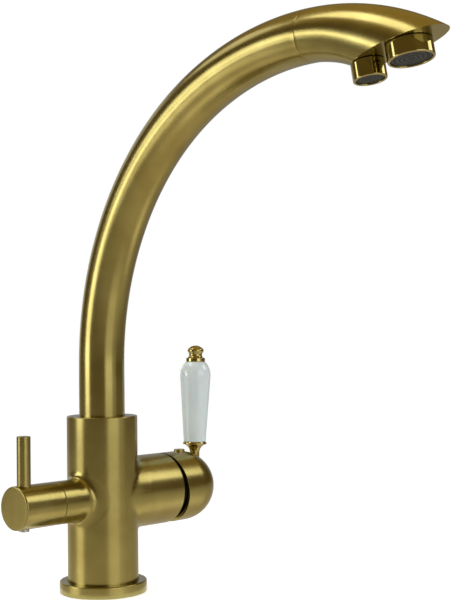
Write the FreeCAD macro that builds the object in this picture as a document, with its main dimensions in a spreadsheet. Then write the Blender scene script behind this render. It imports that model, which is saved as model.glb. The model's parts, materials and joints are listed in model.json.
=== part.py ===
"""Three way kitchen tap for hot, cold and filtered water.

A round column stands on a flange. A mixer branch with a domed lever cap leaves it along +X and a
filter branch with a quarter turn knob along -X. A swan neck spout swivels in the column's top and
ends in a beak with two outlets, one for mixed water and one for filtered water.

Frame: millimetres, +Z up, the origin at the centre of the flange's underside, the branches along X.
The spout points to the front, -Y, and at rest stands a few degrees off it.
"""

import FreeCAD, Part
import math
import os
import re
import Sketcher

# Every driving dimension, in millimetres or degrees. Each goes into the sheet under its own name.

# Clearances
FixedFit = 0.1  # radial, between pieces that are screwed or pushed together
RunningFit = 0.06  # radial, between a turning piece and its bearing
FreeGap = 0.3  # between pieces that move past each other
ContactGap = 0.05  # between flat faces that slide on each other
Overcut = 1  # how far a cutting tool runs past the face that it cuts

# Column and its flange
ColumnDiameter = 45
ColumnOverlap = 5.7  # how far the column's rim reaches up the spout tube
ColumnChamfer = 0.7
FootInset = 2.5
FlangeBrim = 5.25
FlangeThickness = 7.4
FlangeRounding = 0.6
FlangeRecess = 0.6
GasketLand = 1.8
GasketWidth = 3
GasketThickness = 2
BranchFlare = 17
BranchRootInset = 0.4
BranchFillet = 2.4

# Inlet block, with its threaded ports in the underside
BlockWall = 2
BlockThickness = 16
InletDiameter = 9
InletDepth = 12
InletCircle = 21
StudHoleDiameter = 6.8
WaterwayDiameter = 6
PortStep = 0.5  # how much smaller in radius a cross drilling is than the waterway that it meets

# Spout socket in the column
SocketRise = 21.5  # from the mixer branch's axis to the socket's floor
SocketWater = 6
ChamberDiameter = 25
WasherThickness = 2
WasherOverhang = 1.5
RetainingScrewDiameter = 5
RetainingTipDiameter = 3
RetainingScrewSink = 1.6
HexSocketAcross = 2.5
HexSocketDepth = 2

# Spout tube
SpoutDiameter = 29
SpoutWall = 1.5
SpoutSwing = 4.8
SpoutRise = 32.7  # the straight run above the column
BendRadius = 176
BendAngle = 66.1
CrownRadius = 195
SeamTurn = 92
JointRingLength = 14
JointRingWall = 1.4

# Spigot that turns in the socket
SpigotInset = 0.2
SpigotBore = 16
SpigotPlug = 12
SpigotLand = 1
SpigotShoulder = 0.95
BushHeight = 3.2
BushThickness = 1.9
RingThickness = 2.8
RetainingGroove = 3.6
RetainingGrooveDepth = 2.2

# Beak, measured from the seam with the spout tube
BeakTopRadius = 190
BeakTurn = 30
BeakWall = 1.8
BeakGrowthEarly = 2
BeakGrowthMiddle = 5
BeakGrowthEnd = 7
BeakNarrowing = 1
OvalMargin = 0.0001  # keeps each oval's long radius the longer one
UndersideReach = 59.5
UndersideDrop = 16.5
UndersideTilt = 11
UndersidePlate = 3
SlabSize = 240

# Outlets, measured from the seam
MainOutletReach = 65.4
MainOutletDiameter = 24
MainOutletDrop = 9
MainThreadStep = 1.4
MainThreadLength = 6
MainBossWall = 1.8
MainBossLand = 1.4
MainThroatInset = 2.4
FilterOutletReach = 38.4
FilterOutletDiameter = 17.8
FilterOutletDrop = 9.7
FilterThreadStep = 1.5
FilterThreadLength = 4
FilterBossWall = 2
FilterBossHeight = 9
OutletWall = 1.6
OutletLedge = 1
OutletRounding = 0.5
InsertRecess = 0.8
AeratorGasket = 1
GrateDepth = 2
GrateBar = 1.1
GrateRings = 3

# Inner tube for the filtered water, measured from the floor of the water chamber
FilterTubeDiameter = 8
FilterTubeWall = 1
FilterTubeStart = 1
FilterTubeBend = 14
NippleBore = 5
NippleWall = 0.6
NippleInsert = 6.4
NippleCollarWall = 2.1
NippleRise = 10
NippleLand = 1.5
NippleRing = 2
NipplePortDepth = 14

# Mixer branch and its cartridge
MixerHeight = 60.5
MixerWall = 5.7  # from the cartridge's outside to the branch's outside
MixerRim = 51.2
CartridgeDiameter = 35
CartridgeDepth = 27.2
CartridgeBase = 4
CartridgeWall = 2
CartridgeLid = 3.1
LidGap = 0.55
PortRing = 1.6
DiscThickness = 4
FixedDiscClearance = 0.5
MixingDiscDiameter = 21
MixingDiscOffset = 1.5
MixingPocketWall = 3
NutWall = 3
NutDepth = 7.2
NutHead = 3.8
NutHeadInset = 1.5
NutMouthGap = 3
NutNotches = 6
NutNotchWidth = 4
NutNotchDepth = 1.2
NutNotchStart = 0.6
CoverRingWall = 2.4
CoverRingLength = 7.3
OutletPortRise = 9
RiserReach = 9.2

# Stem and its guide
GuideFlangeThickness = 3.5
GuideNeckDiameter = 18
GuideOverrun = 5
GuideBore = 13
PivotRise = 9.65
PivotPinDiameter = 3
StemThickness = 6
StemTail = 7
StemOverrun = 3.8
StemArm = 11.2
StemBallDiameter = 4.6
StemWaist = 3.4

# Lever cap
CapReach = 18  # from the branch's rim to the centre of the dome
CapWall = 2.2
CapGapTop = 2
CapGapBottom = 7
CapHubDiameter = 16
CapHubGap = 3.5
LeverSetback = 14.8
LeverSink = 0.37
LeverLean = 1.6
LeverHubDiameter = 11
LeverHubDepth = 8
LeverHubRise = 4
CapScrewDiameter = 5
CapScrewLength = 8
PlugDiameter = 7.3
PlugRise = 1.4
PlugShank = 5.8
PlugSeatDepth = 0.4
PlugRounding = 0.5

# Lever, measured along its own axis
RodDiameter = 5
RodEmbed = 7
RodEndGap = 0.5
RodTail = 1.5
RodTipGap = 0.2
CollarNeckDiameter = 6.6
CollarEmbed = 1.6
CollarFlareStart = 3.5
CollarFlareHeight = 5.9
CollarFlareRadius = 6
CollarRimDiameter = 16.4
CollarRimThickness = 1
CollarLip = 0.6
HandleFootDiameter = 15.1
HandleFootRounding = 0.6
HandleFullDiameter = 20.7
HandleTaperLength = 44
HandleCrownLength = 11
HandleTopDiameter = 13.2
HandleShoulderRadius = 12.7
FinialRingDiameter = 13.1
FinialRingHeight = 2.6
FinialRingEdge = 0.4
FinialNeckDiameter = 8.6
FinialNeckHeight = 3.4
FinialNeckStep = 0.5
FinialKnobDiameter = 11
FinialKnobFlare = 1.2
FinialKnobBand = 1.2
FinialKnobHeight = 5.2

# Filter branch, its quarter turn valve and its knob
FilterDrop = 0.65  # how much lower the filter branch's axis is than the mixer branch's
FilterRim = 40
FilterWall = 4.4
ValveDepth = 21
ValveDiameter = 17.8
ValveWall = 1.6
ValveSeal = 3
ValveCollar = 3.6
ValveCollarStep = 1
ValveNeckDiameter = 12
ValveNeckLength = 10
ValveDiscThickness = 3
ValveWindowWidth = 5
ValveInletDiameter = 4
ValveInletOffset = 3
ValvePassageStart = 2
ValvePortRise = 6.6
ValvePortDiameter = 4.4
SpindleDiameter = 7
SpindleFlange = 4
SpindleRingSetback = 7
SpindleRingWidth = 1.2
SpindleRingDepth = 1
ClipThickness = 0.8
ClipDiameter = 9.8
ClipGroove = 0.5
KnobLength = 30.1
KnobBevel = 0.9
KnobCrown = 4.4
KnobCavityGap = 0.8
KnobCavityDepth = 15
PinSetback = 7.5
PinDiameter = 8.4
PinHeight = 42.85
PinSeatDepth = 1
PinShankDiameter = 5
PinShankLength = 6
PinEdge = 0.4
KnobScrewDiameter = 6.4
KnobScrewRise = 1.2

SIZES = {
    name: number
    for name, number in dict(globals()).items()
    if name[0].isupper() and isinstance(number, (int, float))
}
ALIAS = re.compile(r"\b(" + "|".join(SIZES) + r")\b")
MODEL = []

doc = FreeCAD.newDocument("FilteredWaterTap")
sizes = doc.addObject("Spreadsheet::Sheet", "Sizes")
for row, (name, number) in enumerate(SIZES.items(), 1):
    sizes.set(f"A{row}", str(number))
    sizes.setAlias(f"A{row}", name)
doc.recompute()


def bind(target, path, formula):
    """Ties a property to a formula of the sheet's sizes."""
    target.setExpression(path, ALIAS.sub(r"Sizes.\g<0>", formula))


def value(formula):
    """The number that a formula gives at the present sizes."""
    result = sizes.evalExpression(formula)
    return getattr(result, "Value", result)


# Directions and turns, as the formulas write them
ACROSS_X = "1; 0; 0"
ACROSS_Y = "0; 1; 0"
UPRIGHT = "0; 0; 1"
ALONG_PLUS_X = (ACROSS_Y, "90")
ALONG_MINUS_X = (ACROSS_Y, "-90")
ALONG_PLUS_Y = (ACROSS_X, "-90")
SWUNG = (UPRIGHT, "-90 - SpoutSwing")
CENTRE = ("0", "0", "0")


def place(target, at=CENTRE, turns=()):
    """Puts a shape at a point, turned by the given axes and angles, the last of them first."""
    rotations = [f"rotation(vector({axis}); {angle})" for axis, angle in turns]
    rotation = " * ".join(rotations or ["rotation(vector(0; 0; 1); 0)"])
    bind(target, "Placement", f"placement(vector({'; '.join(at)}); {rotation})")


def keep(target, label):
    """Marks an object as one of the tap's sub-parts."""
    target.Label = label
    MODEL.append(target)
    return target


def origin_plane(body, role):
    """One of the body's own origin planes."""
    return next(feature for feature in body.Origin.OriginFeatures if feature.Role == role)


def new_sketch(body, role, name="Outline"):
    """An empty sketch on one of the body's origin planes."""
    sketch = body.newObject("Sketcher::SketchObject", name)
    sketch.AttachmentSupport = (origin_plane(body, role), [""])
    sketch.MapMode = "FlatFace"
    return sketch


def pin_point(sketch, index, point, corner):
    """Holds a point of the sketch at the formulas of a corner."""
    for kind, formula in zip(("DistanceX", "DistanceY"), corner):
        number = sketch.addConstraint(
            Sketcher.Constraint(kind, -1, 1, index, point, value(formula))
        )
        if not formula.replace(".", "").isdigit():
            bind(sketch, f"Constraints[{number}]", formula)


def draw(sketch, corners, closed=True):
    """Draws lines and arcs through the corners.

    A corner is (x, y), reached by a line, or (x, y, radius, side), reached by an arc whose centre
    lies to the left of the way there (side 1) or to the right (side -1).
    """
    places = [FreeCAD.Vector(value(c[0]), value(c[1]), 0) for c in corners]
    first = 0 if closed else 1
    ends = []
    for i in range(first, len(corners)):
        start, end = places[i - 1], places[i]
        if len(corners[i]) == 2:
            index = sketch.addGeometry(Part.LineSegment(start, end))
            ends.append((index, 1, 2))
            continue
        radius, side = value(corners[i][2]), corners[i][3]
        chord = end - start
        half = chord.Length / 2
        rise = math.sqrt(max(radius**2 - half**2, 0))
        left = FreeCAD.Vector(-chord.y, chord.x, 0).normalize()
        middle = (start + end) / 2 + left * (rise * side)
        angles = [math.atan2(p.y - middle.y, p.x - middle.x) for p in (start, end)]
        circle = Part.Circle(middle, FreeCAD.Vector(0, 0, 1), radius)
        low, high = angles if side > 0 else angles[::-1]
        index = sketch.addGeometry(Part.ArcOfCircle(circle, low, high))
        ends.append((index, 1, 2) if side > 0 else (index, 2, 1))
        number = sketch.addConstraint(Sketcher.Constraint("Radius", index, radius))
        bind(sketch, f"Constraints[{number}]", corners[i][2])
    for k, (index, start, _end) in enumerate(ends):
        before = ends[k - 1]
        if closed or k:
            link = Sketcher.Constraint("Coincident", before[0], before[2], index, start)
            sketch.addConstraint(link)
    if not closed:
        pin_point(sketch, ends[0][0], ends[0][1], corners[0])
    for (index, _start, end), corner in zip(ends, corners[first:]):
        pin_point(sketch, index, end, corner)


def turned(label, corners, at=CENTRE, turns=(), name=None):
    """A piece turned about its own Z axis, from (radius, height) corners."""
    body = doc.addObject("PartDesign::Body", name or label)
    sketch = new_sketch(body, "XZ_Plane")
    draw(sketch, corners)
    spin = body.newObject("PartDesign::Revolution", "Turning")
    spin.Profile = sketch
    spin.ReferenceAxis = (sketch, ["V_Axis"])
    spin.Angle = 360
    body.Tip = spin
    place(body, at, turns)
    return keep(body, label) if label else body


def ring(label, inner, outer, low, high, at=CENTRE, turns=()):
    """A plain turned ring from low to high along its axis."""
    corners = [(inner, low), (outer, low), (outer, high), (inner, high)]
    return turned(label, corners, at, turns)


def rod(radius, low, high, at=CENTRE, turns=()):
    """A cylinder from low to high along its own Z axis, with that axis through a point."""
    cylinder = doc.addObject("Part::Cylinder", "Rod")
    bind(cylinder, "Radius", radius)
    bind(cylinder, "Height", f"({high}) - ({low})")
    rotations = " * ".join(f"rotation(vector({axis}); {angle})" for axis, angle in turns)
    move = f"placement(vector({'; '.join(at)}); {rotations or 'rotation(vector(0; 0; 1); 0)'})"
    lift = f"placement(vector(0; 0; {low}); rotation(vector(0; 0; 1); 0))"
    bind(cylinder, "Placement", f"{move} * {lift}")
    return cylinder


def block(size_x, size_y, size_z, corner, at=CENTRE, turns=()):
    """A box with its lowest corner at a point of a turned frame."""
    box = doc.addObject("Part::Box", "Block")
    bind(box, "Length", size_x)
    bind(box, "Width", size_y)
    bind(box, "Height", size_z)
    rotations = " * ".join(f"rotation(vector({axis}); {angle})" for axis, angle in turns)
    move = f"placement(vector({'; '.join(at)}); {rotations or 'rotation(vector(0; 0; 1); 0)'})"
    shift = f"placement(vector({'; '.join(corner)}); rotation(vector(0; 0; 1); 0))"
    bind(box, "Placement", f"{move} * {shift}")
    return box


def joined(*shapes):
    """The union of several shapes."""
    union = doc.addObject("Part::MultiFuse", "Union")
    union.Shapes = list(shapes)
    union.Refine = True
    return union


def shared(first, second):
    """What two shapes have in common."""
    common = doc.addObject("Part::Common", "Shared")
    common.Base = first
    common.Tool = second
    return common


def without(base, *tools):
    """A shape with others cut away, one after the other."""
    for tool in tools:
        difference = doc.addObject("Part::Cut", "Difference")
        difference.Base = base
        difference.Tool = tool
        base = difference
    return base


# ---------------------------------------------------------------------------------------------
# Flange and column
# ---------------------------------------------------------------------------------------------

COLUMN_RADIUS = "(ColumnDiameter / 2)"
FLANGE_RADIUS = f"({COLUMN_RADIUS} + FlangeBrim)"
FOOT_RADIUS = f"({COLUMN_RADIUS} - FootInset)"
BLOCK_RADIUS = f"({FOOT_RADIUS} - BlockWall)"
BLOCK_TOP = "BlockThickness"
RECESS_FLOOR = "(FlangeThickness - FlangeRecess)"
GASKET_INNER = f"({FOOT_RADIUS} + 2 * FixedFit + GasketLand)"
GASKET_OUTER = f"({GASKET_INNER} + GasketWidth)"
CARTRIDGE_RADIUS = "(CartridgeDiameter / 2)"
BORE_RADIUS = f"({CARTRIDGE_RADIUS} + FixedFit)"
NUT_RADIUS = f"({CARTRIDGE_RADIUS} + NutWall)"
MIXER_RADIUS = f"({CARTRIDGE_RADIUS} + MixerWall)"
VALVE_RADIUS = "(ValveDiameter / 2)"
FILTER_RADIUS = f"({VALVE_RADIUS} + FilterWall)"
FILTER_HEIGHT = "(MixerHeight - FilterDrop)"
MIXER_AXIS = ("0", "0", "MixerHeight")
FILTER_AXIS = ("0", "0", FILTER_HEIGHT)
CARTRIDGE_SEAT = "(MixerRim - CartridgeDepth)"
VALVE_SEAT = "(FilterRim - ValveDepth)"
SOCKET_RADIUS = "(SpoutDiameter / 2 + FreeGap)"
SOCKET_FLOOR = "(MixerHeight + SocketRise)"
WASHER_TOP = f"({SOCKET_FLOOR} + WasherThickness)"
SPIGOT_BOTTOM = f"({WASHER_TOP} + ContactGap)"
CHAMBER_FLOOR = f"({SOCKET_FLOOR} - SocketWater)"
PORT_FLOOR = f"({CHAMBER_FLOOR} - NipplePortDepth)"
NIPPLE_RADIUS = "(NippleBore / 2 + NippleWall + NippleRing)"
NIPPLE_BOTTOM = f"({CHAMBER_FLOOR} - NippleInsert)"
NIPPLE_TOP = f"({CHAMBER_FLOOR} + NippleRise)"
FILTER_TUBE_BOTTOM = f"({CHAMBER_FLOOR} + FilterTubeStart)"
WATERWAY = "(WaterwayDiameter / 2)"
PORT = f"({WATERWAY} - PortStep)"
INLET_X = "(InletCircle / 2 * cos(60))"
INLET_Y = "(InletCircle / 2 * sin(60))"
FILTER_INLET_X = "(-InletCircle / 2)"


def make_flange():
    """The flange ring, with a shallow recess for the column and a groove for the gasket."""
    groove_out = f"({GASKET_OUTER} + FixedFit)"
    groove_in = f"({GASKET_INNER} - FixedFit)"
    turned(
        "base_flange",
        [
            (f"{FOOT_RADIUS} + FixedFit", "0"),
            (groove_in, "0"),
            (groove_in, "GasketThickness"),
            (groove_out, "GasketThickness"),
            (groove_out, "0"),
            (f"{FLANGE_RADIUS} - FlangeRounding", "0"),
            (FLANGE_RADIUS, "FlangeRounding", "FlangeRounding", 1),
            (FLANGE_RADIUS, "FlangeThickness - FlangeRounding"),
            (f"{FLANGE_RADIUS} - FlangeRounding", "FlangeThickness", "FlangeRounding", 1),
            (f"{COLUMN_RADIUS} + FreeGap", "FlangeThickness"),
            (f"{COLUMN_RADIUS} + FreeGap", RECESS_FLOOR),
            (f"{FOOT_RADIUS} + FixedFit", RECESS_FLOOR),
        ],
    )
    ring("base_gasket", GASKET_INNER, GASKET_OUTER, "0", "GasketThickness")


def filleted(casting):
    """The casting with a fillet round the crease where the filter branch leaves the column."""
    doc.recompute()
    radius = value("BranchFillet")
    creases = []
    for number, edge in enumerate(casting.Shape.Edges, 1):
        span = edge.LastParameter - edge.FirstParameter
        spots = [edge.valueAt(edge.FirstParameter + span * k / 8) for k in range(9)]
        if all(is_in_crease(spot) for spot in spots):
            creases.append((number, radius, radius))
    fillet = doc.addObject("Part::Fillet", "BranchFillet")
    fillet.Base = casting
    fillet.Edges = creases
    return fillet


def is_in_crease(spot):
    """Whether a point lies where the filter branch meets the column's surface."""
    tolerance = 0.01
    on_column = abs(math.hypot(spot.x, spot.y) - value(COLUMN_RADIUS)) < tolerance
    away = math.hypot(spot.y, spot.z - value(FILTER_HEIGHT))
    return spot.x < 0 and on_column and abs(away - value(FILTER_RADIUS)) < tolerance


def make_column():
    """The column with its two branches, sockets and drilled waterways."""
    trunk = turned(
        None,
        [
            ("0", "0"),
            (FOOT_RADIUS, "0"),
            (FOOT_RADIUS, RECESS_FLOOR),
            (COLUMN_RADIUS, RECESS_FLOOR),
            (COLUMN_RADIUS, f"{COLUMN_TOP} - ColumnChamfer"),
            (f"{COLUMN_RADIUS} - ColumnChamfer", COLUMN_TOP),
            ("0", COLUMN_TOP),
        ],
        name="Trunk",
    )
    mixer_branch = turned(
        None,
        [
            ("0", "0"),
            (f"{COLUMN_RADIUS} - BranchRootInset", "0"),
            (MIXER_RADIUS, "BranchFlare"),
            (MIXER_RADIUS, "MixerRim"),
            ("0", "MixerRim"),
        ],
        MIXER_AXIS,
        [ALONG_PLUS_X],
        name="MixerBranch",
    )
    filter_branch = rod(FILTER_RADIUS, "0", "FilterRim", FILTER_AXIS, [ALONG_MINUS_X])
    casting = filleted(joined(trunk, mixer_branch, filter_branch))
    outlet_height = "(MixerHeight + OutletPortRise)"
    port_height = f"({FILTER_HEIGHT} + ValvePortRise)"
    drillings = [
        rod(f"{BLOCK_RADIUS} + FixedFit", "0", BLOCK_TOP),
        rod(SOCKET_RADIUS, SOCKET_FLOOR, f"{COLUMN_TOP} + Overcut"),
        rod("ChamberDiameter / 2", CHAMBER_FLOOR, f"{SOCKET_FLOOR} + Overcut"),
        rod(f"{NIPPLE_RADIUS} + RunningFit", PORT_FLOOR, f"{CHAMBER_FLOOR} + Overcut"),
        rod(BORE_RADIUS, CARTRIDGE_SEAT, "MixerRim + Overcut", MIXER_AXIS, [ALONG_PLUS_X]),
        rod(
            f"{NUT_RADIUS} + FixedFit",
            "MixerRim - NutDepth",
            "MixerRim + Overcut",
            MIXER_AXIS,
            [ALONG_PLUS_X],
        ),
        rod(
            f"{VALVE_RADIUS} + FixedFit",
            VALVE_SEAT,
            "FilterRim + Overcut",
            FILTER_AXIS,
            [ALONG_MINUS_X],
        ),
        rod(WATERWAY, BLOCK_TOP, f"{FILTER_HEIGHT} + {WATERWAY}", (FILTER_INLET_X, "0", "0")),
        rod(PORT, "InletCircle / 2", VALVE_SEAT, FILTER_AXIS, [ALONG_MINUS_X]),
        rod(
            "ValvePortDiameter / 2",
            "0",
            VALVE_SEAT,
            ("0", "0", port_height),
            [ALONG_MINUS_X],
        ),
        rod(PORT, "RiserReach", CARTRIDGE_SEAT, ("0", "0", outlet_height), [ALONG_PLUS_X]),
        rod(
            WATERWAY,
            f"{outlet_height} - {WATERWAY}",
            f"{CHAMBER_FLOOR} + Overcut",
            ("RiserReach", "0", "0"),
        ),
        rod(
            "RetainingScrewDiameter / 2 + FixedFit",
            "SpoutDiameter / 2",
            f"{COLUMN_RADIUS} + Overcut",
            ("0", "0", RETAINING_HEIGHT),
            [ALONG_PLUS_Y],
        ),
    ]
    for side in ("", "-"):
        across = f"({side}{INLET_Y})"
        inlet_at = (INLET_X, across, "0")
        branch_at = ("0", across, "MixerHeight")
        drillings.append(rod(WATERWAY, BLOCK_TOP, f"MixerHeight + {WATERWAY}", inlet_at))
        drillings.append(rod(PORT, INLET_X, CARTRIDGE_SEAT, branch_at, [ALONG_PLUS_X]))
    column = without(casting, *drillings)
    keep(column, "tap_body")


def make_inlet_block():
    """The block in the column's foot, with three hose ports and the hole for the fixing stud."""
    body = rod(BLOCK_RADIUS, "0", BLOCK_TOP)
    inlets = [(INLET_X, INLET_Y), (INLET_X, f"(-{INLET_Y})"), (FILTER_INLET_X, "0")]
    holes = [rod("StudHoleDiameter / 2", "0", "InletDepth")]
    for across_x, across_y in inlets:
        holes.append(rod("InletDiameter / 2", "0", "InletDepth", (across_x, across_y, "0")))
        holes.append(rod(WATERWAY, "InletDepth", f"{BLOCK_TOP} + Overcut", (across_x, across_y, "0")))
    keep(without(body, *holes), "inlet_block")


# ---------------------------------------------------------------------------------------------
# Swivel socket
# ---------------------------------------------------------------------------------------------

SPOUT_RADIUS = "(SpoutDiameter / 2)"
SPIGOT_RADIUS = "(SpoutDiameter / 2 - SpigotInset)"
TUBE_BORE = "(SpoutDiameter / 2 - SpoutWall)"
RING_GROOVE = "(RingThickness + 2 * FixedFit)"
LOWER_BUSH = f"({SPIGOT_BOTTOM} + SpigotLand)"
FIRST_RING = f"({LOWER_BUSH} + BushHeight + SpigotLand)"
SECOND_RING = f"({FIRST_RING} + {RING_GROOVE} + SpigotLand)"
RETAINING_LOW = f"({SECOND_RING} + {RING_GROOVE} + SpigotLand)"
RETAINING_HEIGHT = f"({RETAINING_LOW} + RetainingGroove / 2)"
UPPER_BUSH = f"({RETAINING_LOW} + RetainingGroove + SpigotLand)"
BUSH_INNER = f"({SOCKET_RADIUS} - RunningFit - BushThickness)"
RING_INNER = f"({SOCKET_RADIUS} - RunningFit - RingThickness)"
TUBE_BOTTOM = f"({UPPER_BUSH} + BushHeight + SpigotShoulder)"
COLUMN_TOP = f"({TUBE_BOTTOM} + ColumnOverlap)"
RISE_TOP = f"({COLUMN_TOP} + SpoutRise)"


def groove(low, height, floor):
    """The corners of a groove in the spigot."""
    return [
        (SPIGOT_RADIUS, low),
        (floor, low),
        (floor, f"{low} + {height}"),
        (SPIGOT_RADIUS, f"{low} + {height}"),
    ]


def make_swivel():
    """The spigot under the spout tube, with its bushes, sealing rings, washer and screw."""
    bush_floor = f"({BUSH_INNER} - FixedFit)"
    ring_floor = f"({RING_INNER} - FixedFit)"
    plug = f"({TUBE_BORE} - FixedFit)"
    turned(
        "spout_spigot",
        [
            ("SpigotBore / 2", SPIGOT_BOTTOM),
            (SPIGOT_RADIUS, SPIGOT_BOTTOM),
            *groove(LOWER_BUSH, "BushHeight", bush_floor),
            *groove(FIRST_RING, RING_GROOVE, ring_floor),
            *groove(SECOND_RING, RING_GROOVE, ring_floor),
            *groove(RETAINING_LOW, "RetainingGroove", f"({SPIGOT_RADIUS} - RetainingGrooveDepth)"),
            *groove(UPPER_BUSH, "BushHeight", bush_floor),
            (SPIGOT_RADIUS, TUBE_BOTTOM),
            (plug, TUBE_BOTTOM),
            (plug, f"{TUBE_BOTTOM} + SpigotPlug"),
            ("SpigotBore / 2", f"{TUBE_BOTTOM} + SpigotPlug"),
        ],
    )
    for label, low in (("lower_swivel_bush", LOWER_BUSH), ("upper_swivel_bush", UPPER_BUSH)):
        ring(
            label,
            BUSH_INNER,
            f"{SOCKET_RADIUS} - RunningFit",
            f"{low} + FixedFit",
            f"{low} + BushHeight - FixedFit",
        )
    tori = []
    for low in (FIRST_RING, SECOND_RING):
        torus = doc.addObject("Part::Torus", "SealingRing")
        bind(torus, "Radius2", "RingThickness / 2")
        bind(torus, "Radius1", f"{RING_INNER} + RingThickness / 2")
        place(torus, ("0", "0", f"{low} + {RING_GROOVE} / 2"))
        tori.append(torus)
    keep(joined(*tori), "spout_o_rings")
    ring(
        "thrust_washer",
        "ChamberDiameter / 2 - WasherOverhang",
        f"{SOCKET_RADIUS} - FixedFit",
        SOCKET_FLOOR,
        WASHER_TOP,
    )
    make_retaining_screw()


def hex_key_hole(low, high, at, turns):
    """A hexagonal prism for the socket of a grub screw."""
    prism = doc.addObject("Part::Prism", "KeyHole")
    prism.Polygon = 6
    bind(prism, "Circumradius", "HexSocketAcross / 2 / cos(30)")
    bind(prism, "Height", f"({high}) - ({low})")
    rotations = " * ".join(f"rotation(vector({axis}); {angle})" for axis, angle in turns)
    move = f"placement(vector({'; '.join(at)}); {rotations or 'rotation(vector(0; 0; 1); 0)'})"
    bind(prism, "Placement", f"{move} * placement(vector(0; 0; {low}); rotation(vector(0; 0; 1); 0))")
    return prism


def make_retaining_screw():
    """The grub screw at the back of the column, whose tip runs in the spigot's groove."""
    at = ("0", "0", RETAINING_HEIGHT)
    tip = f"({SPIGOT_RADIUS} - RetainingGrooveDepth + FreeGap)"
    root = f"({SOCKET_RADIUS} + FixedFit)"
    end = f"({COLUMN_RADIUS} - RetainingScrewSink)"
    screw = joined(
        rod("RetainingTipDiameter / 2", tip, f"{root} + Overcut", at, [ALONG_PLUS_Y]),
        rod("RetainingScrewDiameter / 2", root, end, at, [ALONG_PLUS_Y]),
    )
    key = hex_key_hole(f"{end} - HexSocketDepth", f"{end} + Overcut", at, [ALONG_PLUS_Y])
    keep(without(screw, key), "spout_retaining_screw")


# ---------------------------------------------------------------------------------------------
# Spout tube and beak, built in the spout's own plane and then swung about the column
# ---------------------------------------------------------------------------------------------

BEND_X = "(BendRadius * (1 - cos(BendAngle)))"
BEND_Z = f"({RISE_TOP} + BendRadius * sin(BendAngle))"
SEAM_X = f"({BEND_X} + CrownRadius * (cos(BendAngle) - cos(SeamTurn)))"
SEAM_Z = f"({BEND_Z} + CrownRadius * (sin(SeamTurn) - sin(BendAngle)))"


def pipe(label, path_corners, outer, inner, start):
    """A tube of constant section along a path in the spout's plane, starting upright."""
    body = doc.addObject("PartDesign::Body", label)
    path = new_sketch(body, "XZ_Plane", "Path")
    draw(path, path_corners, closed=False)
    section = new_sketch(body, "XY_Plane", "Section")
    bind(section, "AttachmentOffset", f"placement(vector(0; 0; {start}); rotation(vector(0; 0; 1); 0))")
    for radius in (outer, inner):
        circle = Part.Circle(FreeCAD.Vector(0, 0, 0), FreeCAD.Vector(0, 0, 1), value(radius))
        index = section.addGeometry(circle)
        section.addConstraint(Sketcher.Constraint("Coincident", index, 3, -1, 1))
        number = section.addConstraint(Sketcher.Constraint("Radius", index, value(radius)))
        bind(section, f"Constraints[{number}]", radius)
    doc.recompute()
    sweep = body.newObject("PartDesign::AdditivePipe", "Sweep")
    sweep.Profile = section
    sweep.Spine = (path, [f"Edge{i + 1}" for i in range(len(path.Shape.Edges))])
    body.Tip = sweep
    place(body, CENTRE, [SWUNG])
    return keep(body, label)


def make_spout_tube():
    """The swan neck: an upright run, the main bend and a flatter crown up to the seam."""
    pipe(
        "spout_tube",
        [
            ("0", TUBE_BOTTOM),
            ("0", RISE_TOP),
            (BEND_X, BEND_Z, "BendRadius", -1),
            (SEAM_X, SEAM_Z, "CrownRadius", -1),
        ],
        SPOUT_RADIUS,
        TUBE_BORE,
        TUBE_BOTTOM,
    )
    outer = "(SpoutDiameter / 2 - BeakWall - FreeGap)"
    ring(
        "head_joint_ring",
        f"{outer} - JointRingWall",
        outer,
        "-JointRingLength / 2",
        "JointRingLength / 2",
        (f"cos(90 + SpoutSwing) * {SEAM_X}", f"-sin(90 + SpoutSwing) * {SEAM_X}", SEAM_Z),
        [SWUNG, (ACROSS_Y, "SeamTurn")],
    )


# The beak's back follows one arc. Its sections hang from that arc and grow taller towards the end.
BACK_X = f"({SEAM_X} - cos(SeamTurn) * SpoutDiameter / 2)"
BACK_Z = f"({SEAM_Z} + sin(SeamTurn) * SpoutDiameter / 2)"
BACK_CENTRE_X = f"({BACK_X} + cos(SeamTurn) * BeakTopRadius)"
BACK_CENTRE_Z = f"({BACK_Z} - sin(SeamTurn) * BeakTopRadius)"
FULL_WIDTH = "SpoutDiameter"
EARLY_HEIGHT = "(SpoutDiameter + BeakGrowthEarly)"
MIDDLE_HEIGHT = "(SpoutDiameter + BeakGrowthMiddle)"
END_HEIGHT = "(SpoutDiameter + BeakGrowthEnd)"
BEAK_STATIONS = (
    ("0", "SpoutDiameter", FULL_WIDTH),
    ("BeakTurn * 0.14", "(SpoutDiameter + 0.35 * BeakGrowthEarly)", FULL_WIDTH),
    ("BeakTurn * 0.28", EARLY_HEIGHT, FULL_WIDTH),
    ("BeakTurn * 0.5", MIDDLE_HEIGHT, "(SpoutDiameter - 0.5 * BeakNarrowing)"),
    ("BeakTurn * 0.75", END_HEIGHT, "(SpoutDiameter - 0.75 * BeakNarrowing)"),
    ("BeakTurn", END_HEIGHT, "(SpoutDiameter - BeakNarrowing)"),
)
MAIN_OUTLET = f"({SEAM_X} + MainOutletReach)"
FILTER_OUTLET = f"({SEAM_X} + FilterOutletReach)"
MAIN_THREAD = "(MainOutletDiameter / 2 - MainThreadStep)"
FILTER_THREAD = "(FilterOutletDiameter / 2 - FilterThreadStep)"
FILTER_TUBE_RADIUS = "(FilterTubeDiameter / 2)"


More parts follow.
